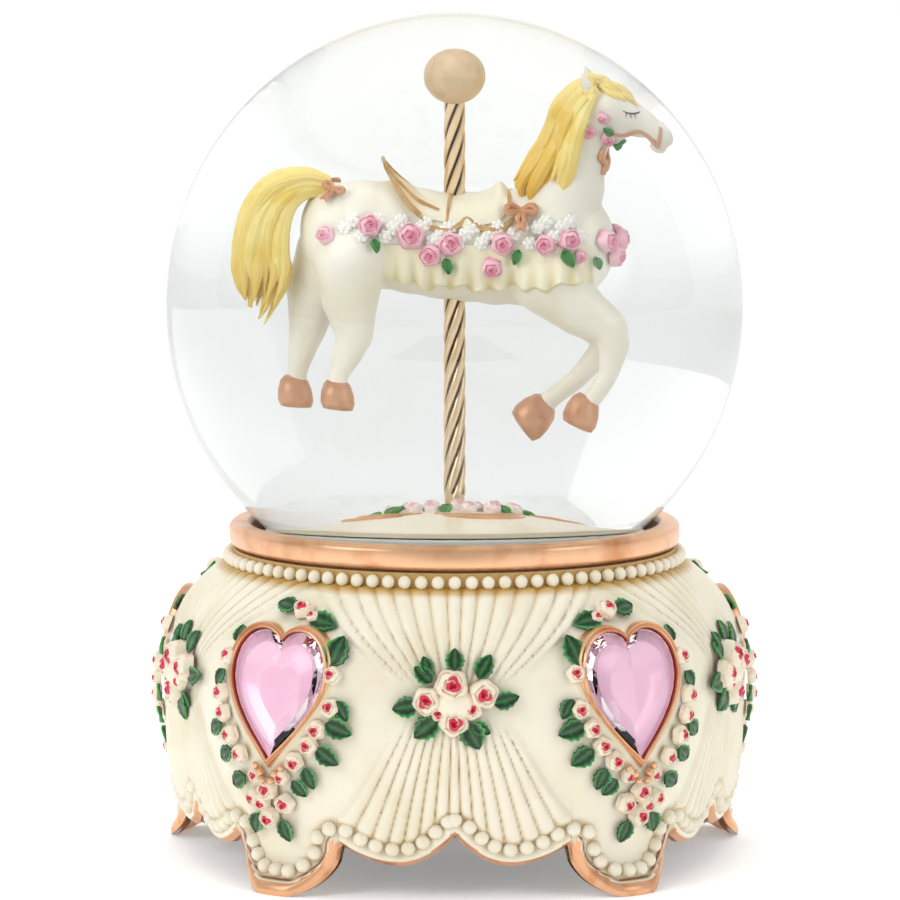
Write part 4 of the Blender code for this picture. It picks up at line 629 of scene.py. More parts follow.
print("flowers", HEARTS * (len(BOUQUET) + len(GARLAND)), "on the base")

# %% [markdown]
# ### Heart stones
# Each stone is a faceted acrylic heart over pink foil, held by a raised setting with two ridges:
# copper outside, red-orange where the paint sinks in against the stone.

# %% Heart stones
def lofted(bm, rings, values=None, closed=True):
    """Join rings of equal counts; closed joins the last to the first."""
    layer = bm.verts.layers.float.get("inner") or bm.verts.layers.float.new("inner")
    made = []
    for index, ring in enumerate(rings):
        row = [bm.verts.new(Vector(point) * MM) for point in ring]
        for vert in row:
            vert[layer] = values[index] if values else 0.0
        made.append(row)
    for lower, upper in zip(made, made[1:] + made[:1] if closed else made[1:]):
        for index in range(len(lower)):
            after = (index + 1) % len(lower)
            bm.faces.new((lower[index], lower[after], upper[after], upper[index]))
    return made


# How far each ridge of the setting is drawn in, how far it stands out, and its share of red.
SETTING = [(0.0, -1.5, 0), (0.1, -0.2, 0), (0.15, 0.3, 0), (0.3, 0.65, 0), (0.5, 0.65, 0), (0.62, 0.5, 0.2),
           (0.78, 0.65, 0.15), (0.92, 1.0, 0), (1.1, 1.05, 0.1), (1.25, 0.85, 0.6), (1.4, 0.2, 1),
           (1.45, -0.6, 1), (1.45, -1.5, 1)]
# Share of the girdle's size and height out of the base, for the stone and for the foil cup behind it.
PAVILION = (0.45, -1.15), (0.8, -0.7), (1.0, 0.0), (1.0, 0.15)
CUP, CUP_BACK = ((1.03, 0.1), (0.81, -0.9), (0.46, -1.35)), ((1.03, -1.48), (1.03, 0.1))
girdle = heart_outline(HEART_W - 3.1, HEART_T - 3.4, 7)
between = [((a[0] + b[0]) / 2, (a[1] + b[1]) / 2) for a, b in zip(girdle, girdle[1:] + girdle[:1])]


def cut(levels, shape):
    return [[(x * share, y * share, level) for x, y in shape] for share, level in levels]


for number in range(HEARTS):
    where = heart_frame(number)
    bm = bmesh.new()
    rings = [[(x, y, level) for x, y in heart_outline(HEART_W - 2 * inset, HEART_T - 2.2 * inset, 16)]
             for inset, level, _ in SETTING]
    lofted(bm, rings, [red for *_, red in SETTING])
    for side in (-1, 1):
        for x, y, size in ((1.5, -13.2, 0.75), (2.6, -12.1, 0.65), (0.9, -14.4, 0.6)):
            ball(bm, (side * x, y, 0.1), (size, size, size * 0.9))
    bm.transform(where)
    piece(f"heart_setting_{number + 1}", bm, COPPER, slot="copper_paint", nodes=[f"heart_bezel_{number + 1}"])
    bm = bmesh.new()
    crown = cut([(0.84, 1.1)], between) + cut([(0.6, 1.75)], girdle)
    made = lofted(bm, cut(PAVILION, girdle) + crown, closed=False)
    bm.faces.new(reversed(made[0]))
    bm.faces.new(made[-1])
    bmesh.ops.triangulate(bm, faces=[face for face in bm.faces if len(face.verts) == 4])
    bm.transform(where)
    piece(f"heart_stone_{number + 1}", bm, STONE, slot="pink_acrylic", nodes=[f"heart_gem_{number + 1}"],
          sharp=4)
    bm = bmesh.new()
    bm.faces.new(lofted(bm, cut(CUP, girdle), closed=False)[-1])
    back = lofted(bm, cut(CUP_BACK, girdle), closed=False)
    bmesh.ops.remove_doubles(bm, verts=bm.verts, dist=1e-6)
    bm.faces.new(back[0])
    bm.transform(where)
    piece(f"heart_foil_{number + 1}", bm, FOIL, slot="pink_acrylic", sharp=4)
print("heart stones", HEARTS, "of", len(girdle), "facets round the girdle")

# %% [markdown]
# ### Collar
# The collar is a turned ring, painted copper, that hides the glued joint of the glass. Its inner
# face, against the glass, is darkened brown as painted shade in the joint.

# %% Collar
BORE, BULGE = 35.2, 38.0
below = [math.pi * step / 8 for step in range(5)]
above = [math.pi * step / 10 for step in range(6)]
outline = [(BORE, 54.1)]
outline += [(BULGE + 1.2 * math.sin(a), 55.3 - 1.3 * math.cos(a)) for a in below]
outline += [(BULGE + 1.2 * math.cos(a), 57.0 + 1.25 * math.sin(a)) for a in above]
outline += [(36.4, 58.2), (35.6, 57.9), (BORE, 57.2)]
bm = bmesh.new()
turned(bm, outline, 160)
# Painted shade: the inner face against the glass is darkened brown.
layer = bm.verts.layers.float.new("brown")
for vert in bm.verts:
    vert[layer] = 0.9 if math.hypot(vert.co.x, vert.co.y) < (BORE + 0.5) * MM else 0.0
piece("collar_ring", bm, COPPER, slot="copper_paint", nodes=["globe_collar"])
print("collar", BORE, "to", BULGE + 1.2, "mm from the axis")

# %% [markdown]
# ## Glass ball
# The ball is blown glass filled with water. Light bends at the air side and again at the water
# side, and that is what makes the horse look larger than it is. A ball of water inside the glass
# would do it too, but the two skins would have to touch; one wall with two materials is simpler.

# %% Glass ball
GLOBE, WALL = 50.0, 1.6
low_corner, high_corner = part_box("globe_glass")
STRETCH = 1.02    # a blown ball is a little taller than wide
TALL = GLOBE * STRETCH
CENTRE, CUT = high_corner.z / MM - TALL, low_corner.z / MM
ARC = 72


def glass_arc(radius, tall):
    """Half outline of a ball from where it is cut open up to its pole."""
    start = -math.asin((CENTRE - CUT) / tall)
    angles = [start + (math.pi / 2 - start) * step / ARC for step in range(ARC)]
    return [(radius * math.cos(a), CENTRE + tall * math.sin(a)) for a in angles] + [(0.0, CENTRE + tall)]


bm = bmesh.new()
turned(bm, glass_arc(GLOBE, TALL)[::-1] + glass_arc(GLOBE - WALL, TALL - WALL), 128)
bmesh.ops.recalc_face_normals(bm, faces=bm.faces)
for face in bm.faces:
    middle = face.calc_center_median() / MM
    reach = math.hypot(middle.x, middle.y, (middle.z - CENTRE) / STRETCH)
    face.material_index = int(reach < GLOBE - WALL / 2)
piece("glass_ball", bm, [OUTER_GLASS, INNER_GLASS], slot="globe_glass", nodes=["globe_glass"], sharp=60)
print("glass from", round(CUT, 2), "to", round(CENTRE + TALL, 2), "mm")

# %% [markdown]
# ### Ground
# The horse stands over a low cast dome painted like the base, with copper scrolls and a wreath of
# small roses round the pole. The dome is turned, the scrolls are tubes that follow its height, and
# the flowers stand on the golden angle, which spreads them evenly with no rows.

# %% Ground
low_corner, high_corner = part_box("ground_mound")
GROUND, FLOOR_LEVEL, POLE_HOLE, GOLDEN = 28.6, low_corner.z / MM, 2.9, 2.399963


def ground_level(radius):
    return FLOOR_LEVEL + 0.9 + 7.0 * (1 - (min(radius, GROUND) / GROUND) ** 1.8)


bm = bmesh.new()
reaches = [GROUND * math.sin(math.pi / 2 * t / 24) for t in range(24, 1, -1)]
dome = [(reach, ground_level(reach)) for reach in [*reaches, POLE_HOLE]]
turned(bm, [(POLE_HOLE, FLOOR_LEVEL), (GROUND, FLOOR_LEVEL), *dome], 96)
layer = bm.verts.layers.float.new("wash")
for vert in bm.verts:
    vert[layer] = float(step_up(24.0, 29.5, math.hypot(vert.co.x, vert.co.y) / MM)) * 0.35
piece("ground_dome", bm, RESIN, slot="cast_resin", nodes=["ground_mound"])
bm = bmesh.new()
for number in range(HEARTS):
    start = SECTOR * number
    for reach, span, size in ((14.6, 0.55, 0.42), (17.4, 0.42, 0.34)):
        points = []
        for step in range(9):
            share = step / 8 * 2 - 1
            radius = reach - 2.6 * abs(share) ** 2.4
            turn = start + share * span
            points.append((radius * math.cos(turn), radius * math.sin(turn), ground_level(radius) + 0.05))
        strand(bm, points, [0.15, size, size, 0.15], steps=4, side=(0, 0, 1))
piece("ground_scrolls", bm, COPPER, slot="copper_paint")
wreath, wreath_leaves = bmesh.new(), bmesh.new()
random.seed(5)
for number in range(34):
    turn, reach = number * GOLDEN, 4.2 + 5.6 * math.sqrt(number / 34)
    spot = Vector((reach * math.cos(turn), reach * math.sin(turn), ground_level(reach) + 0.5))
    matrix = Matrix.Translation(spot * MM)
    tilt = Matrix.Rotation(0.5, 4, Vector((-math.sin(turn), math.cos(turn), 0)))
    if number % 3:
        rose(wreath, matrix @ tilt @ Matrix.Rotation(turn * 3, 4, "Z"), random.uniform(1.0, 1.35))
    else:
        leaf(wreath_leaves, matrix @ tilt @ Matrix.Rotation(turn - math.pi / 2, 4, "Z"), 2.8, 1.7)
piece("ground_roses", wreath, PALE_ROSE, slot="cast_resin")
piece("ground_leaves", wreath_leaves, GREEN, slot="cast_resin")
print("ground top", round(ground_level(0), 2), "mm")

# %% [markdown]
# ## Carousel
# The pole is a tube with a five-start twist, gilt and antiqued in the grooves, and the ball on its
# top is satin gilt. A Screw modifier would twist a profile too; here the groove's depth is a cosine
# of angle and height, which also gives the antiquing its value.

# %% Pole and ball
BALL, BALL_LEVEL, SOCKET = 4.2, 127.0, 1.75
PITCH, TWISTS, POLE_ROWS, PLAIN, RIDGE_RADIUS = 19.6, 5, 150, 1.3, 1.43
low_corner, high_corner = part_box("carousel_pole")
POLE_LOW, POLE_TOP, TWIST_START = low_corner.z / MM, high_corner.z / MM, ground_level(0) + 2.0


def pole_place(u, v):
    row = min(max(round(u * (POLE_ROWS + 2)) - 1, 0), POLE_ROWS)
    level = POLE_LOW if row == 0 else TWIST_START + (POLE_TOP - TWIST_START) * (row - 1) / (POLE_ROWS - 1)
    angle = math.tau * v
    phase = TWISTS * (angle - math.tau * max(0.0, level - TWIST_START) / PITCH)
    groove = (0.5 - 0.5 * math.cos(phase)) ** 3 if row > 1 else 0.0
    radius = PLAIN if row <= 1 else RIDGE_RADIUS - 0.34 * groove
    if u < 0.001 or u > 0.999:
        radius = 0.0
    return radius * math.cos(angle) * MM, radius * math.sin(angle) * MM, level * MM, groove


bm = bmesh.new()
surface(bm, POLE_ROWS + 2, 60, pole_place, ("groove",))
piece("twisted_pole", bm, GILT, "carousel", "gilt_metal", ["carousel_pole"])
bm = bmesh.new()
low_angle = math.asin(SOCKET / BALL)
arc = [low_angle + (math.pi - low_angle) * t / 40 for t in range(41)]
outline = [(0.0, BALL_LEVEL - 1.2), (SOCKET, BALL_LEVEL - 1.2)]
outline += [(BALL * math.sin(a), BALL_LEVEL - BALL * math.cos(a)) for a in arc[:-1]]
outline.append((0.0, BALL_LEVEL + BALL))
turned(bm, outline, 64)
piece("gilt_ball", bm, GILT_BALL, "carousel", "gilt_metal", ["pole_ball"])
print("pole", round(POLE_LOW, 1), "to", round(POLE_TOP, 1))

# %% [markdown]
# ## Horse
# The figure is one small casting, painted by hand. It could be a subdivided cage, but round masses
# and tapered limbs merged by a voxel remesh give a plump cast skin from far fewer numbers.
# Everything painted in another colour is laid on that skin: a ray looks in from the side at a
# height and a distance along the horse, and the piece goes where it lands.

# %% Horse body
# Distance along and height of a mass on the middle line, and its half sizes.
MASSES = [(-15.8, 105.6, 4.6, 5.3, 6.4), (-12, 105.2, 6.4, 6.0, 7.1), (-8.5, 104.8, 7.2, 6.2, 7.3),
          (-5, 104, 7.4, 6.3, 7.2), (-1.5, 103.4, 7.6, 6.4, 7.2), (2, 103.2, 7.6, 6.4, 7.4),
          (5.5, 103.1, 7.4, 6.4, 7.7), (9, 103.2, 7.2, 6.2, 7.9), (12.5, 103.6, 6.6, 6.0, 7.8),
          (16.4, 103.6, 4.8, 4.9, 6.6), (21.6, 122.2, 4.1, 2.9, 4.2), (20.4, 120.2, 3.0, 2.6, 3.2),
          (25.4, 121.4, 4.0, 2.1, 2.7), (29.4, 119.9, 2.0, 1.6, 2.1), (28.2, 117.6, 1.5, 1.2, 1.0)]
# Neck, muzzle, ears and legs: points with a radius each.
CHAINS = [
    [(12.8, 0, 106, 6.0), (15.4, 0, 111.5, 4.6), (16.6, 0, 116, 3.6), (18.6, 0, 120.5, 3.1),
     (20.4, 0, 123.4, 3.0)],
    [(22.0, 0, 123.4, 3.3), (26.4, 0, 121.3, 2.3), (29.6, 0, 119.6, 1.7)],
    [(19.0, 1.7, 125.2, 1.2), (18.6, 2.0, 127.2, 1.0), (18.2, 1.9, 129.0, 0.35)],
    [(19.0, -1.7, 125.2, 1.2), (18.6, -2.0, 127.2, 1.0), (18.2, -1.9, 129.0, 0.35)],
    [(-13.8, -3.0, 102, 5.0), (-13.9, -3.3, 96.6, 3.9), (-13.3, -3.6, 91.8, 2.6), (-14.0, -3.6, 89.6, 2.1),
     (-15.4, -3.6, 86.4, 1.35), (-15.8, -3.6, 84.6, 1.5)],
    [(-15.8, 3.0, 102, 4.8), (-18.0, 3.3, 97.0, 3.7), (-18.8, 3.6, 92.2, 2.5), (-19.4, 3.6, 90.0, 2.0),
     (-20.1, 3.6, 86.6, 1.3), (-20.3, 3.6, 84.8, 1.5)],
    [(12.5, -3.0, 99, 4.9), (16.6, -3.4, 95.2, 3.7), (20.6, -3.6, 92.8, 2.6), (21.4, -3.6, 90.6, 2.2),
     (20.6, -3.6, 86.4, 1.4), (18.6, -3.6, 83.4, 1.3), (17.4, -3.6, 82.2, 1.5)],
    [(11.5, 3.0, 99, 4.4), (16.0, 3.5, 94.0, 2.9), (19.4, 3.6, 91.4, 2.0), (19.0, 3.6, 89.4, 1.7),
     (15.6, 3.6, 85.6, 1.35), (12.4, 3.6, 83.2, 1.3), (11.2, 3.6, 82.0, 1.5)]]


def grown_skin(masses, chains, voxel, smoothing):
    """Merge ellipsoids and tapered limbs into one smooth skin and return it as a bmesh."""
    bm = bmesh.new()
    for x, z, *half in masses:
        ball(bm, (x, 0, z), half, 3)
    for chain in chains:
        for x, y, z, size in chain:
            ball(bm, (x, y, z), (size,) * 3, 3)
        for start, end in zip(chain, chain[1:]):
            first, last = Vector(start[:3]) * MM, Vector(end[:3]) * MM
            turn = (last - first).to_track_quat("Z", "Y").to_matrix().to_4x4()
            bmesh.ops.create_cone(bm, cap_ends=True, segments=24, radius1=start[3] * MM, radius2=end[3] * MM,
                                  depth=(last - first).length,
                                  matrix=Matrix.Translation((first + last) / 2) @ turn)
    mesh = bpy.data.meshes.new("masses")
    bm.to_mesh(mesh)
    bm.free()
    rough = bpy.data.objects.new("masses", mesh)
    scene.collection.objects.link(rough)
    skin = rough.modifiers.new("skin", "REMESH")
    skin.mode, skin.voxel_size = "VOXEL", voxel * MM
    rough.modifiers.new("soft", "SMOOTH").iterations = smoothing
    done = bpy.data.meshes.new_from_object(rough.evaluated_get(bpy.context.evaluated_depsgraph_get()))
    bpy.data.objects.remove(rough)
    bm = bmesh.new()
    bm.from_mesh(done)
    bpy.data.meshes.remove(done)
    return bm


bm = grown_skin(MASSES, CHAINS, voxel=0.4, smoothing=8)
horse_tree = BVHTree.FromBMesh(bm)
print("horse skin", len(bm.faces), "faces")
FIGURE = ("carousel", "painted_figure_resin")
piece("horse_body", bm, IVORY, *FIGURE, ["horse_figure"], sharp=180)


def on_horse(x, z, side=-1, lift=0.0, spin=0.0, y=None):
    """Placing matrix on the horse's skin: Z out of it, Y up it."""
    if y is None:
        found = horse_tree.ray_cast(Vector((x, side * 30, z)) * MM, Vector((0, -side, 0)))
    else:
        found = horse_tree.find_nearest(Vector((x, y, z)) * MM)
    if found[0] is None:
        found = horse_tree.find_nearest(Vector((x, side * 5, z)) * MM)
    spot, normal, *_ = found
    up = (Vector((0, 0, 1)) - normal * normal.z).normalized()
    axes = Matrix((up.cross(normal), up, normal)).transposed().to_4x4()
    return Matrix.Translation(spot + normal * lift * MM) @ axes @ Matrix.Rotation(spin, 4, "Z")


def along_horse(route, side, lift):
    """Points in millimetres that follow a route of (x, z) over the skin."""
    return [on_horse(x, z, side, lift).translation / MM for x, z in route]


# %% [markdown]
# ### Hooves, eyes and bridle
# Hooves, lashes and straps are too thin to mould on so small a casting, so they are touched in with
# a brush. Raised threads and caps a few tenths of a millimetre proud show the same edges. A texture
# would blur at this size.

# %% Hooves, eyes and bridle
# Middle of a hoof, how far it leans forward, and its size.
HOOVES = [(-15.6, -3.6, 83.6, 0.1, 2.15), (-20.4, 3.6, 83.9, 0.05, 2.15), (17.0, -3.6, 81.3, 0.45, 2.3),
          (10.2, 3.6, 80.9, 0.95, 2.45)]
HOOF_RINGS = [(0.0, 1.0), (0.5, 1.0), (0.78, 0.7), (0.96, 0.1), (1.0, -0.5), (0.86, -0.88), (0.5, -0.95),
              (0.0, -0.9)]
hooves = bmesh.new()
for x, y, z, lean, size in HOOVES:
    matrix = Matrix.Translation(Vector((x, y, z)) * MM) @ Matrix.Rotation(lean, 4, "Y")

    def hoof_place(u, v, matrix=matrix, size=size * MM):
        reach, level = HOOF_RINGS[round(u * 7)]
        forward = reach * math.cos(math.tau * v) * 1.08 - 0.12 * level
        return matrix @ (Vector((forward, reach * math.sin(math.tau * v) * 0.92, level)) * size)

    surface(hooves, 7, 24, hoof_place)
piece("horse_hooves", hooves, TRIM, *FIGURE, sharp=75)
lids, straps = bmesh.new(), bmesh.new()
LASHES = ((24.4, 123.3, -0.25), (25.0, 123.15, 0.0), (25.6, 123.2, 0.15))
for side in (-1, 1):
    lid = along_horse(((23.9, 123.5), (24.8, 123.2), (25.8, 123.25), (26.5, 123.5)), side, 0.02)
    strand(lids, lid, [0.08, 0.17, 0.17, 0.08], sides=6, steps=3)
    for x, z, far in LASHES:
        root, end = along_horse([(x, z)], side, 0.02), along_horse([(x + far, z - 0.75)], side, 0.1)
        strand(lids, root + end, [0.1, 0.04], sides=5, steps=1)
    cheek = along_horse(((21.6, 119.6), (23.5, 119.3), (26, 118.6), (28.3, 118.0)), side, 0.05)
    strand(straps, cheek, [0.3, 0.32, 0.4], steps=3)
    noseband = along_horse(((28.2, 117.8), (28.6, 118.6), (29.3, 120.0), (29.6, 121.4)), side, 0.05)
    strand(straps, noseband, [0.45, 0.35, 0.35], steps=3)
    ribbon = [on_horse(x, z, side, lift).translation / MM for x, z, lift in
              ((20.2, 117.4, 0.2), (19.6, 116.0, 0.35), (19.9, 114.8, 0.35), (19.7, 113.4, 0.2))]
    strand(straps, ribbon, [0.3, 0.55, 0.5, 0.4])
piece("horse_eyelids", lids, DARK, *FIGURE)
print("hooves", len(HOOVES), "and lashes", 2 * len(LASHES))

# %% [markdown]
# ### Mane and tail
# The hair is carved as long wavy locks. Hair curves would look like real hair, so each lock is a
# tapered tube instead. It runs from one guide curve towards another, with a seeded swing, and its
# groove value grows to its tip, where the deeper gold is painted shade.

# %% Mane and tail
random.seed(11)
hair = bmesh.new()


def hair_between(outer, inner, count, depth, size, shade, wave=0.35, start=0.25, end=0.75):
    """Locks that run between two guide curves; depth gives y for the outer and the inner side."""
    outer = smooth_path([(x, 0, z) for x, z in outer], 6)
    inner = smooth_path([(x, 0, z) for x, z in inner], 6)
    for number in range(count):
        across = (number + 0.5) / count
        first = random.uniform(0, start) * (number % 4 != 0)
        last = random.uniform(end, 1.0)
        swing, thick = random.uniform(0, 6.28), size * random.uniform(0.75, 1.2)
        tone = random.uniform(-0.3, 0.3)
        points, values = [], []
        for step in range(7):
            share = first + (last - first) * step / 6
            index = share * (len(outer) - 1)
            low = min(int(index), len(outer) - 2)
            a = outer[low].lerp(outer[low + 1], index - low)
            b = inner[low].lerp(inner[low + 1], index - low)
            drift = across + 0.1 * share * math.sin(swing + 7 * share)
            spot = a.lerp(b, drift)
            spot.y = depth(across, share) + wave * math.sin(swing + 7 * share)
            points.append(spot)
            values.append(shade(share) + tone)
        strand(hair, points, [thick * 0.6, thick, thick * 1.1, thick, 0.12], steps=4, names=("groove",),
               values=values)


CREST = [(19.6, 128.0), (16.6, 125.6), (13.8, 122.4), (12.2, 118.6), (10.2, 115.2), (8.0, 112.0),
         (8.8, 108.4)]
FALL = [(20.2, 126.4), (18.4, 123.4), (17.2, 120.0), (16.4, 117.0), (15.4, 113.6), (13.8, 110.0),
        (13.0, 106.4)]
FORELOCK = [(21.5, 127.6), (23.8, 127.0), (25.4, 125.6), (26.3, 124.2)]
FORELOCK_IN = [(20.4, 127.0), (21.8, 126.0), (23.0, 125.4), (24.0, 124.6)]
TUFT, TUFT_IN = [(19.2, 128.6), (21.4, 128.2), (23.0, 127.0)], [(18.2, 126.0), (20.0, 126.0), (21.6, 126.0)]
TAIL = [(-16.6, 112.2), (-20.4, 113.3), (-25.8, 111.6), (-28.4, 106.6), (-29.2, 101.6), (-28.6, 98.0),
        (-27.8, 95.8)]
TAIL_IN = [(-16.8, 110.4), (-19.8, 110.6), (-22.0, 108.8), (-22.8, 105.6), (-22.2, 102.0), (-22.0, 98.4),
           (-25.4, 92.4)]
# The shade functions paint each lock a deeper gold towards its end as painted shade; the forelock and the tuft
# get none.
for side in (-1, 1):
    hair_between(
        CREST, FALL, 17,
        lambda across, share, side=side: side * (0.7 + 3.6 * across ** 0.7 * (0.6 + 0.55 * share)),
        0.9, lambda share: 0.1 + 0.9 * share ** 1.3, wave=0.6, end=0.6)
    hair_between(FORELOCK, FORELOCK_IN, 5, lambda across, share, side=side: side * (0.4 + 1.2 * across),
                 0.65, lambda share: 0.0)
hair_between(TUFT, TUFT_IN, 5, lambda across, share: 0.0, 0.8, lambda share: 0.0)
for layer_y in (-1.9, -0.6, 0.6, 1.9):
    hair_between(TAIL, TAIL_IN, 9,
                 lambda across, share, y=layer_y: y * (0.55 + 0.6 * math.sin(math.pi * min(1, share))),
                 1.0, lambda share: 0.05 + 0.5 * share ** 2, start=0.05, end=0.8)
print("hair", len(hair.faces), "faces")
piece("horse_hair", hair, HAIR, *FIGURE)

# %% [markdown]
# ### Saddle
# The saddle is moulded with a high cantle and a low pommel, and edged in gilt cord. It is lofted
# between two side views, the ridge over the back and the edge of the skirt, and its width comes
# from the horse's own skin, so that it sits on it at every point.

# %% Saddle
RIDGE = [(-9.4, 114.9), (-7.4, 112.6), (-4.4, 110.9), (-1.0, 110.4), (2.4, 110.3), (4.6, 111.0), (6.0, 111.9),
         (7.2, 110.4)]
SKIRT = [(-9.3, 114.4), (-7.4, 111.3), (-5.0, 108.3), (-1.6, 107.3), (1.8, 106.5), (4.4, 107.0), (6.2, 107.6),
         (7.4, 109.4)]
ridge_path = smooth_path([(x, 0, z) for x, z in RIDGE], 6)
skirt_path = smooth_path([(x, 0, z) for x, z in SKIRT], 6)


def saddle_point(u, s, drop=0.0):
    """u runs from cantle to pommel and s from -1 to 1 over the back; drop sinks it, in mm."""
    index = u * (len(ridge_path) - 1)
    low = min(int(index), len(ridge_path) - 2)
    top = ridge_path[low].lerp(ridge_path[low + 1], index - low)
    edge = skirt_path[low].lerp(skirt_path[low + 1], index - low)
    hit = on_horse(edge.x, min(edge.z, 108.0), 1, 0.45).translation.y / MM
    width = max(0.8, hit * (0.45 + 0.55 * float(step_up(0.0, 0.25, u))))
    angle = abs(s) * math.pi / 2
    side = 1 if s > 0 else -1
    x = top.x + (edge.x - top.x) * abs(s)
    z = edge.z + (top.z - edge.z) * math.cos(angle) - drop
    return Vector((x, side * (width - drop) * math.sin(angle), z))


def saddle_place(u, v):
    s = 4 * v - 1 if v < 0.5 else 3 - 4 * v
    drop = 0.0 if v < 0.5 else 0.9 * min(1.0, 6 * (1 - abs(s))) * min(1.0, 12 * u, 12 * (1 - u))
    return (*(saddle_point(u, s, drop) * MM), float(1 - step_up(0.2, 0.4, u)))


bm = bmesh.new()
surface(bm, 36, 48, saddle_place, ("wash",))
piece("horse_saddle", bm, SADDLE, *FIGURE, sharp=60)
trim = bmesh.new()
for side in (-1, 1):
    strand(trim, [saddle_point(u, side, -0.1) for u in (0.0, 0.1, 0.2, 0.3)], [0.25, 0.4, 0.35])
    scroll = ((0.03, 0.3), (0.14, 0.45), (0.26, 0.55), (0.4, 0.7))
    strand(trim, [saddle_point(u, side * s, -0.05) for u, s in scroll], [0.15, 0.32, 0.2])
    swags = [(-4.6 + 12.6 * step / 12, 107.6 - 1.5 * abs(math.sin(math.tau * step / 12)) ** 0.8)
             for step in range(13)]
    strand(trim, along_horse(swags, side, 0.35), [0.3, 0.45, 0.35, 0.5, 0.3], steps=3)
for u in (0.0, 0.45, 1.0):
    arch = [saddle_point(u, s, -0.1) for s in (-1, -0.5, 0, 0.5, 1)]
    strand(trim, arch, [0.22, 0.28, 0.22], side=(1, 0, 0))
print("gilt cord", len(trim.faces), "faces")
piece("saddle_trim", trim, GILT_TRIM, *FIGURE)

# %% [markdown]
# ### Bows
# Copper-painted bows tie the bridle and the tail. Each is a plump ribbon with two loops, two tails
# and a knot, drawn flat in a unit size and laid on the skin by its placing matrix.

# %% Bows
# Points across and up, height over the skin, and the ribbon's radii.
LOOP = (((0, 0), (0.9, 0.55), (1.5, 0.35), (1.35, -0.2), (0.5, -0.15), (0, 0)), 0.25, (0.28, 0.42, 0.42, 0.28))
TAILS = (((0, 0), (0.35, -0.9), (0.2, -1.8), (0.55, -2.6)), 0.2, (0.2, 0.35, 0.3, 0.4, 0.1))


def bow(bm, matrix, size):
    """A tied bow: two loops, two tails and a knot, lying in its matrix's plane."""
    for side in (-1, 1):
        for route, rise, radii in (LOOP, TAILS):
            points = [matrix @ (Vector((side * x, y, rise)) * size * MM) / MM for x, y in route]
            strand(bm, points, [radius * size for radius in radii])
    ball(bm, matrix.translation / MM, (0.5 * size,) * 3)


for side in (-1, 1):
    bow(straps, on_horse(9.0, 108.2, side, 1.0), 1.25)
    bow(straps, on_horse(-16.2, 111.0, side, 0.6, side * 0.5), 0.95)
print("straps and bows", len(straps.faces), "faces")
piece("horse_straps", straps, TRIM, *FIGURE)

# %% [markdown]
# ### Garland on the horse
# A band of white blossom and pink roses hangs round the horse over a cream ruffle. The ruffle could
# be cloth, but on the real one it is cast, so it is a pleated strip that follows the skin, and the
# blossoms are six petals and a middle of a few faces each.

# %% Garland on the horse
random.seed(3)
pink, green, white, ruffle = bmesh.new(), bmesh.new(), bmesh.new(), bmesh.new()
SADDLE_ROSES = [(-17.4, 105.5, 1.3), (-11.6, 106.8, 1.7), (-5.9, 105.4, 1.9), (-3.2, 102.8, 1.6),
                (-0.6, 104.3, 1.7), (6.4, 104.3, 1.6), (5.1, 101.2, 1.5), (12.3, 104.2, 1.5),
                (15.3, 104.9, 1.6), (16.9, 102.6, 1.0)]
SADDLE_LEAVES = [(-11.6, 104.6, 190, 2.0), (-1.2, 102.6, 190, 2.4), (8.8, 103.6, 160, 2.3),
                 (14.4, 103.4, 215, 2.8), (18.6, 102.6, 200, 2.0)]
CHEST = [(19.6, -2.6, 104.4, 1.6), (20.4, -1.2, 102.4, 1.5), (20.6, 0.6, 104.2, 1.6), (20.4, 2.2, 102.2, 1.4),
         (19.8, 3.0, 104.4, 1.5)]
PETAL, BLOSSOM_REACH, BLOSSOMS = 0.52, 0.62, 30
BAND_TOP, HEM = 104.2, 98.8
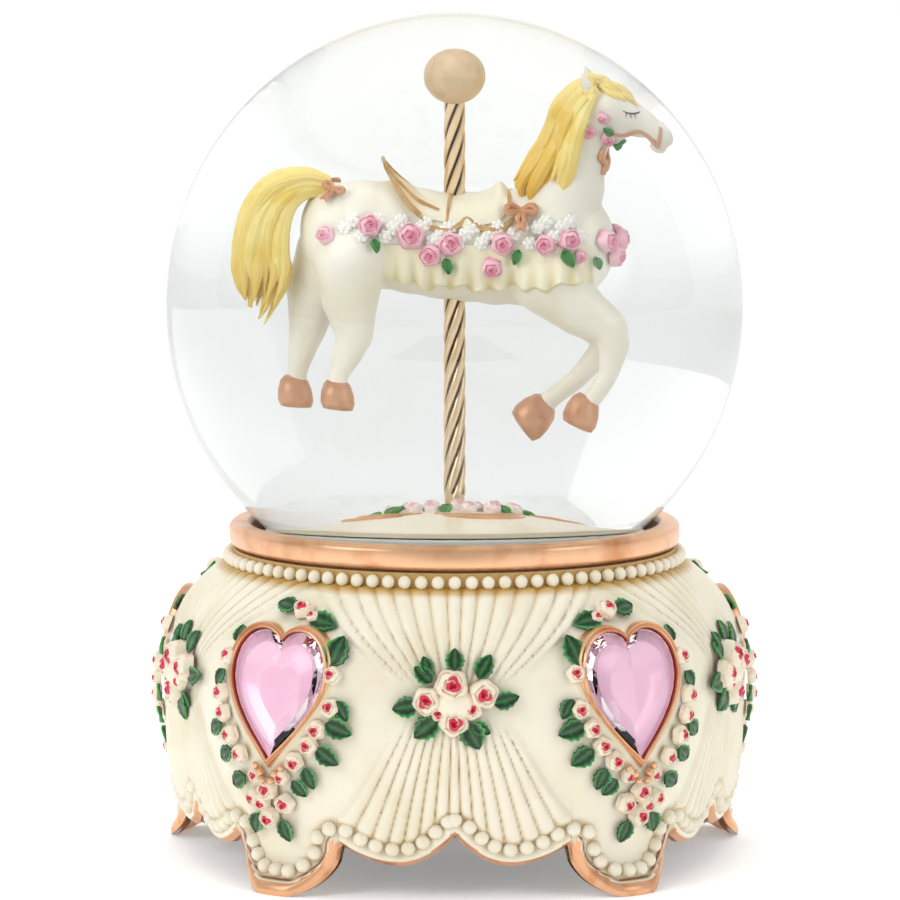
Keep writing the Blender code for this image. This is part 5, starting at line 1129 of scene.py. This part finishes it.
for side in (-1, 1):
    for x, z, size in SADDLE_ROSES:
        rose(pink, on_horse(x, z, side, 0.7, random.uniform(0, 6)), size)
    for x, z, degrees, length in SADDLE_LEAVES:
        leaf(green, on_horse(x, z, side, 0.6, math.radians(degrees)), length, length * 0.62)
    for x, z, size in ((20.7, 122.1, 1.0), (18.5, 119.8, 1.0), (21.0, 118.8, 1.1)):
        rose(pink, on_horse(x, z, side, 0.3, random.uniform(0, 6)), size)
    for x, z, degrees in ((22.0, 120.0, -70), (22.3, 118.0, -85)):
        leaf(green, on_horse(x, z, side, 0.25, math.radians(degrees * side)), 1.7, 1.1)
    for number in range(BLOSSOMS):
        x = -15.4 + 32.6 * (number + 0.5) / BLOSSOMS
        z = 106.4 + 1.2 * math.sin(number * 2.1) - 0.9 * float(step_up(-8, 0, x)) + (0.9 if x > 11 else 0.0)
        middle = on_horse(x, z, side, 0.25)
        for petal in range(6):
            turn = petal * math.pi / 3 + number
            offset = Vector((math.cos(turn), math.sin(turn), 0.0)) * BLOSSOM_REACH * MM
            ball(white, (middle @ offset) / MM, (PETAL,) * 3, 1)
        ball(white, (middle @ Vector((0, 0, 0.3 * MM))) / MM, (0.5,) * 3, 1)

    def ruffle_place(u, v, side=side):
        front = v < 0.5
        down = 2 * v if front else 2 - 2 * v
        ripple = 0.35 * math.sin(17 * math.pi * u) + 0.3 * math.sin(7.3 * math.pi * u)
        hem = HEM - math.sin(math.pi * u) + ripple * down
        z = BAND_TOP + (hem - BAND_TOP) * down
        spot = on_horse(-9.5 + 28.0 * u, max(z, 98.4), side).translation
        fold = 0.5 + 0.5 * math.sin(22 * math.pi * u + 1.5 * math.sin(5 * u))
        out = (0.25 + (0.25 + 1.05 * fold) * down) if front else -0.4 + 0.5 * down * fold
        out *= min(1.0, 14 * u, 14 * (1 - u))
        # groove darkens the valleys of the folds, more towards the hem: painted shade.
        return spot.x, spot.y + side * out * MM, z * MM, (1 - fold) * down

    surface(ruffle, 84, 24, ruffle_place, ("groove",))
for x, y, z, size in CHEST:
    rose(pink, on_horse(x, z, y=y, lift=0.7), size)
for name, bm, finish in (("roses", pink, PINK_ROSE), ("leaves", green, GREEN), ("blossoms", white, BLOSSOM),
                         ("ruffle", ruffle, RUFFLE)):
    print(name, len(bm.faces), "faces")
    piece(f"horse_{name}", bm, finish, *FIGURE)

# %% [markdown]
# ## Movement and fittings
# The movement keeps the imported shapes: they are machined and moulded parts, as plain as the real
# ones, and the collision model needs them as they are. Each only gets the finish of its metal,
# rubber or plastic, and flat shading, because its edges are already cut.

# %% Finishes of the carried-over nodes
FINISHES = {
    BOARD: ["base_plate"],
    RUBBER: ["globe_stopper"],
    ZINC: ["movement_bedplate"],
    ACETAL: ["magnet_carrier", "governor_worm", "governor_wheel"],
    NICKEL: ["drive_magnet", "driven_magnet"],
    STEEL: ["comb", "mainspring", "click_spring", "output_spindle", "winding_arbor", "winding_key",
            "cylinder_arbor", "governor_arbor", "movement_screw_"],
    BRASS: ["spring_barrel", "crown_gear", "pinned_cylinder", "cylinder_gear", "pole_bushing",
            "cylinder_bracket_", "governor_bracket", "governor_fly"]}
for name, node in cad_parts.items():
    if not node.hide_render:
        finish = next(each for each, starts in FINISHES.items() if name.startswith(tuple(starts)))
        node.data.materials.clear()
        node.data.materials.append(finish)
        node.data.shade_flat()
print("finishes", len(FINISHES))

# %% [markdown]
# ## Studio
# A white sweep, two large soft lamps and one from above. Lamps would show in the glass as hard
# squares, so they are kept out of reflections, and glowing cards that fade to their edges are
# mirrored instead, with a dark card that the copper ring picks up.

# %% Floor and lights
def stage_piece(name, bm, material):
    mesh = bpy.data.meshes.new(name)
    bm.to_mesh(mesh)
    bm.free()
    mesh.materials.append(material)
    made = bpy.data.objects.new(name, mesh)
    scene.collection.objects.link(made)
    return made


def sweep_place(u, v):
    """A floor for the first six tenths, then a quarter bend and a wall behind."""
    bend = math.pi / 2 * min(1, max(0, (v - 0.6) / 0.2))
    wall = 6 * max(0.0, (v - 0.8) / 0.2)
    y = -1.6 + 2.6 * min(1, v / 0.6) + 0.4 * math.sin(bend)
    return (u - 0.5) * 8, y, 0.4 * (1 - math.cos(bend)) + wall


sweep_paint = paint("white_sweep", "FFFFFF", roughness=0.9)
sweep_shader = sweep_paint.node_tree.nodes["Principled BSDF"]
sweep_shader.inputs["Emission Color"].default_value = srgb("FFFFFF")
sweep_shader.inputs["Emission Strength"].default_value = 0.26
bm = bmesh.new()
surface(bm, 2, 40, sweep_place)
stage_piece("studio_sweep", bm, sweep_paint).data.shade_smooth()


def soft_box(name, location, target, size, power, tint="FFFFFF"):
    """A square area lamp turned to look at a point."""
    lamp = bpy.data.lights.new(name, "AREA")
    lamp.size, lamp.energy, lamp.color = size, power, srgb(tint)[:3]
    holder = bpy.data.objects.new(name, lamp)
    holder.location = location
    holder.rotation_euler = (Vector(target) - Vector(location)).to_track_quat("-Z", "Y").to_euler()
    holder.visible_glossy = False
    scene.collection.objects.link(holder)


def mirrored_card(name, divisions, size, material):
    """A square card of the studio that only shows in polished surfaces."""
    bm = bmesh.new()
    bmesh.ops.create_grid(bm, x_segments=divisions, y_segments=divisions, size=size / 2)
    card = stage_piece(name, bm, material)
    card.visible_camera = card.visible_transmission = card.visible_diffuse = card.visible_shadow = False
    return card


def soft_card(name, location, target, size, strength):
    """A glowing card that fades to its edges, for the metals and the glass to reflect."""
    material = bpy.data.materials.new(name)
    material.use_nodes = True
    tree = material.node_tree
    tree.nodes.remove(tree.nodes["Principled BSDF"])
    where = add(tree, "TexCoord").outputs["Object"]
    away = add(tree, "VectorMath", {0: where}, operation="LENGTH").outputs["Value"]
    glow = add(tree, "MapRange", {"Value": away, "From Min": size * 0.15, "From Max": size * 0.5,
                                  "To Min": strength, "To Max": 0.0},
               interpolation_type="SMOOTHSTEP").outputs["Result"]
    light = add(tree, "Emission", {"Strength": glow}).outputs[0]
    clear_part = add(tree, "BsdfTransparent").outputs[0]
    share = add(tree, "MapRange", {"Value": away, "From Min": size * 0.3, "From Max": size * 0.5},
                interpolation_type="SMOOTHSTEP").outputs["Result"]
    mixed = add(tree, "MixShader", {0: share, 1: light, 2: clear_part}).outputs[0]
    tree.links.new(mixed, tree.nodes["Material Output"].inputs["Surface"])
    card = mirrored_card(name, 2, size, material)
    card.location = location
    card.rotation_euler = (Vector(target) - Vector(location)).to_track_quat("Z", "Y").to_euler()


soft_box("key_left", (-0.55, -0.45, 0.5), (0, 0, 0.06), 0.45, 2.0)
soft_box("fill_right", (0.6, -0.4, 0.35), (0, 0, 0.06), 0.45, 0.85)
soft_box("top", (0.0, 0.05, 0.75), (0, 0, 0.05), 0.5, 1.4)
soft_card("card_left", (-0.8, -0.55, 0.55), (0, 0, 0.08), 0.8, 3.0)
soft_card("card_right", (0.85, -0.45, 0.4), (0, 0, 0.08), 0.7, 2.2)
dark_card = mirrored_card("dark_card", 1, 1.0, paint("dark_card", "2A211C", roughness=0.8))
dark_card.location, dark_card.scale = (0.0, -0.6, 0.004), (0.3, 0.52, 1.0)
world = bpy.data.worlds.new("studio")
world.use_nodes = True
world.node_tree.nodes["Background"].inputs["Color"].default_value = srgb("FFFFFF")
world.node_tree.nodes["Background"].inputs["Strength"].default_value = 0.55
scene.world = world
scene.view_settings.view_transform = "Standard"
print("lamps", len(bpy.data.lights))

# %% [markdown]
# ## Camera
# A long lens from a little above the table, about 0.86 m away, looks down by six degrees. The lens
# keeps the ball from looking stretched, which a short one close by would do.

# %% Camera
camera_data = bpy.data.cameras.new("camera")
camera_data.lens, camera_data.sensor_width = 198.8, 36.0
camera_data.clip_start, camera_data.clip_end = 0.05, 20.0
camera = bpy.data.objects.new("camera", camera_data)
camera.location = (-0.0008, -0.860, 0.164)
camera.rotation_euler = (math.pi / 2 - math.radians(6.223), 0, 0)
scene.collection.objects.link(camera)
scene.camera = camera
print("camera", [round(value, 3) for value in camera.location], "lens", round(camera_data.lens, 1), "mm")
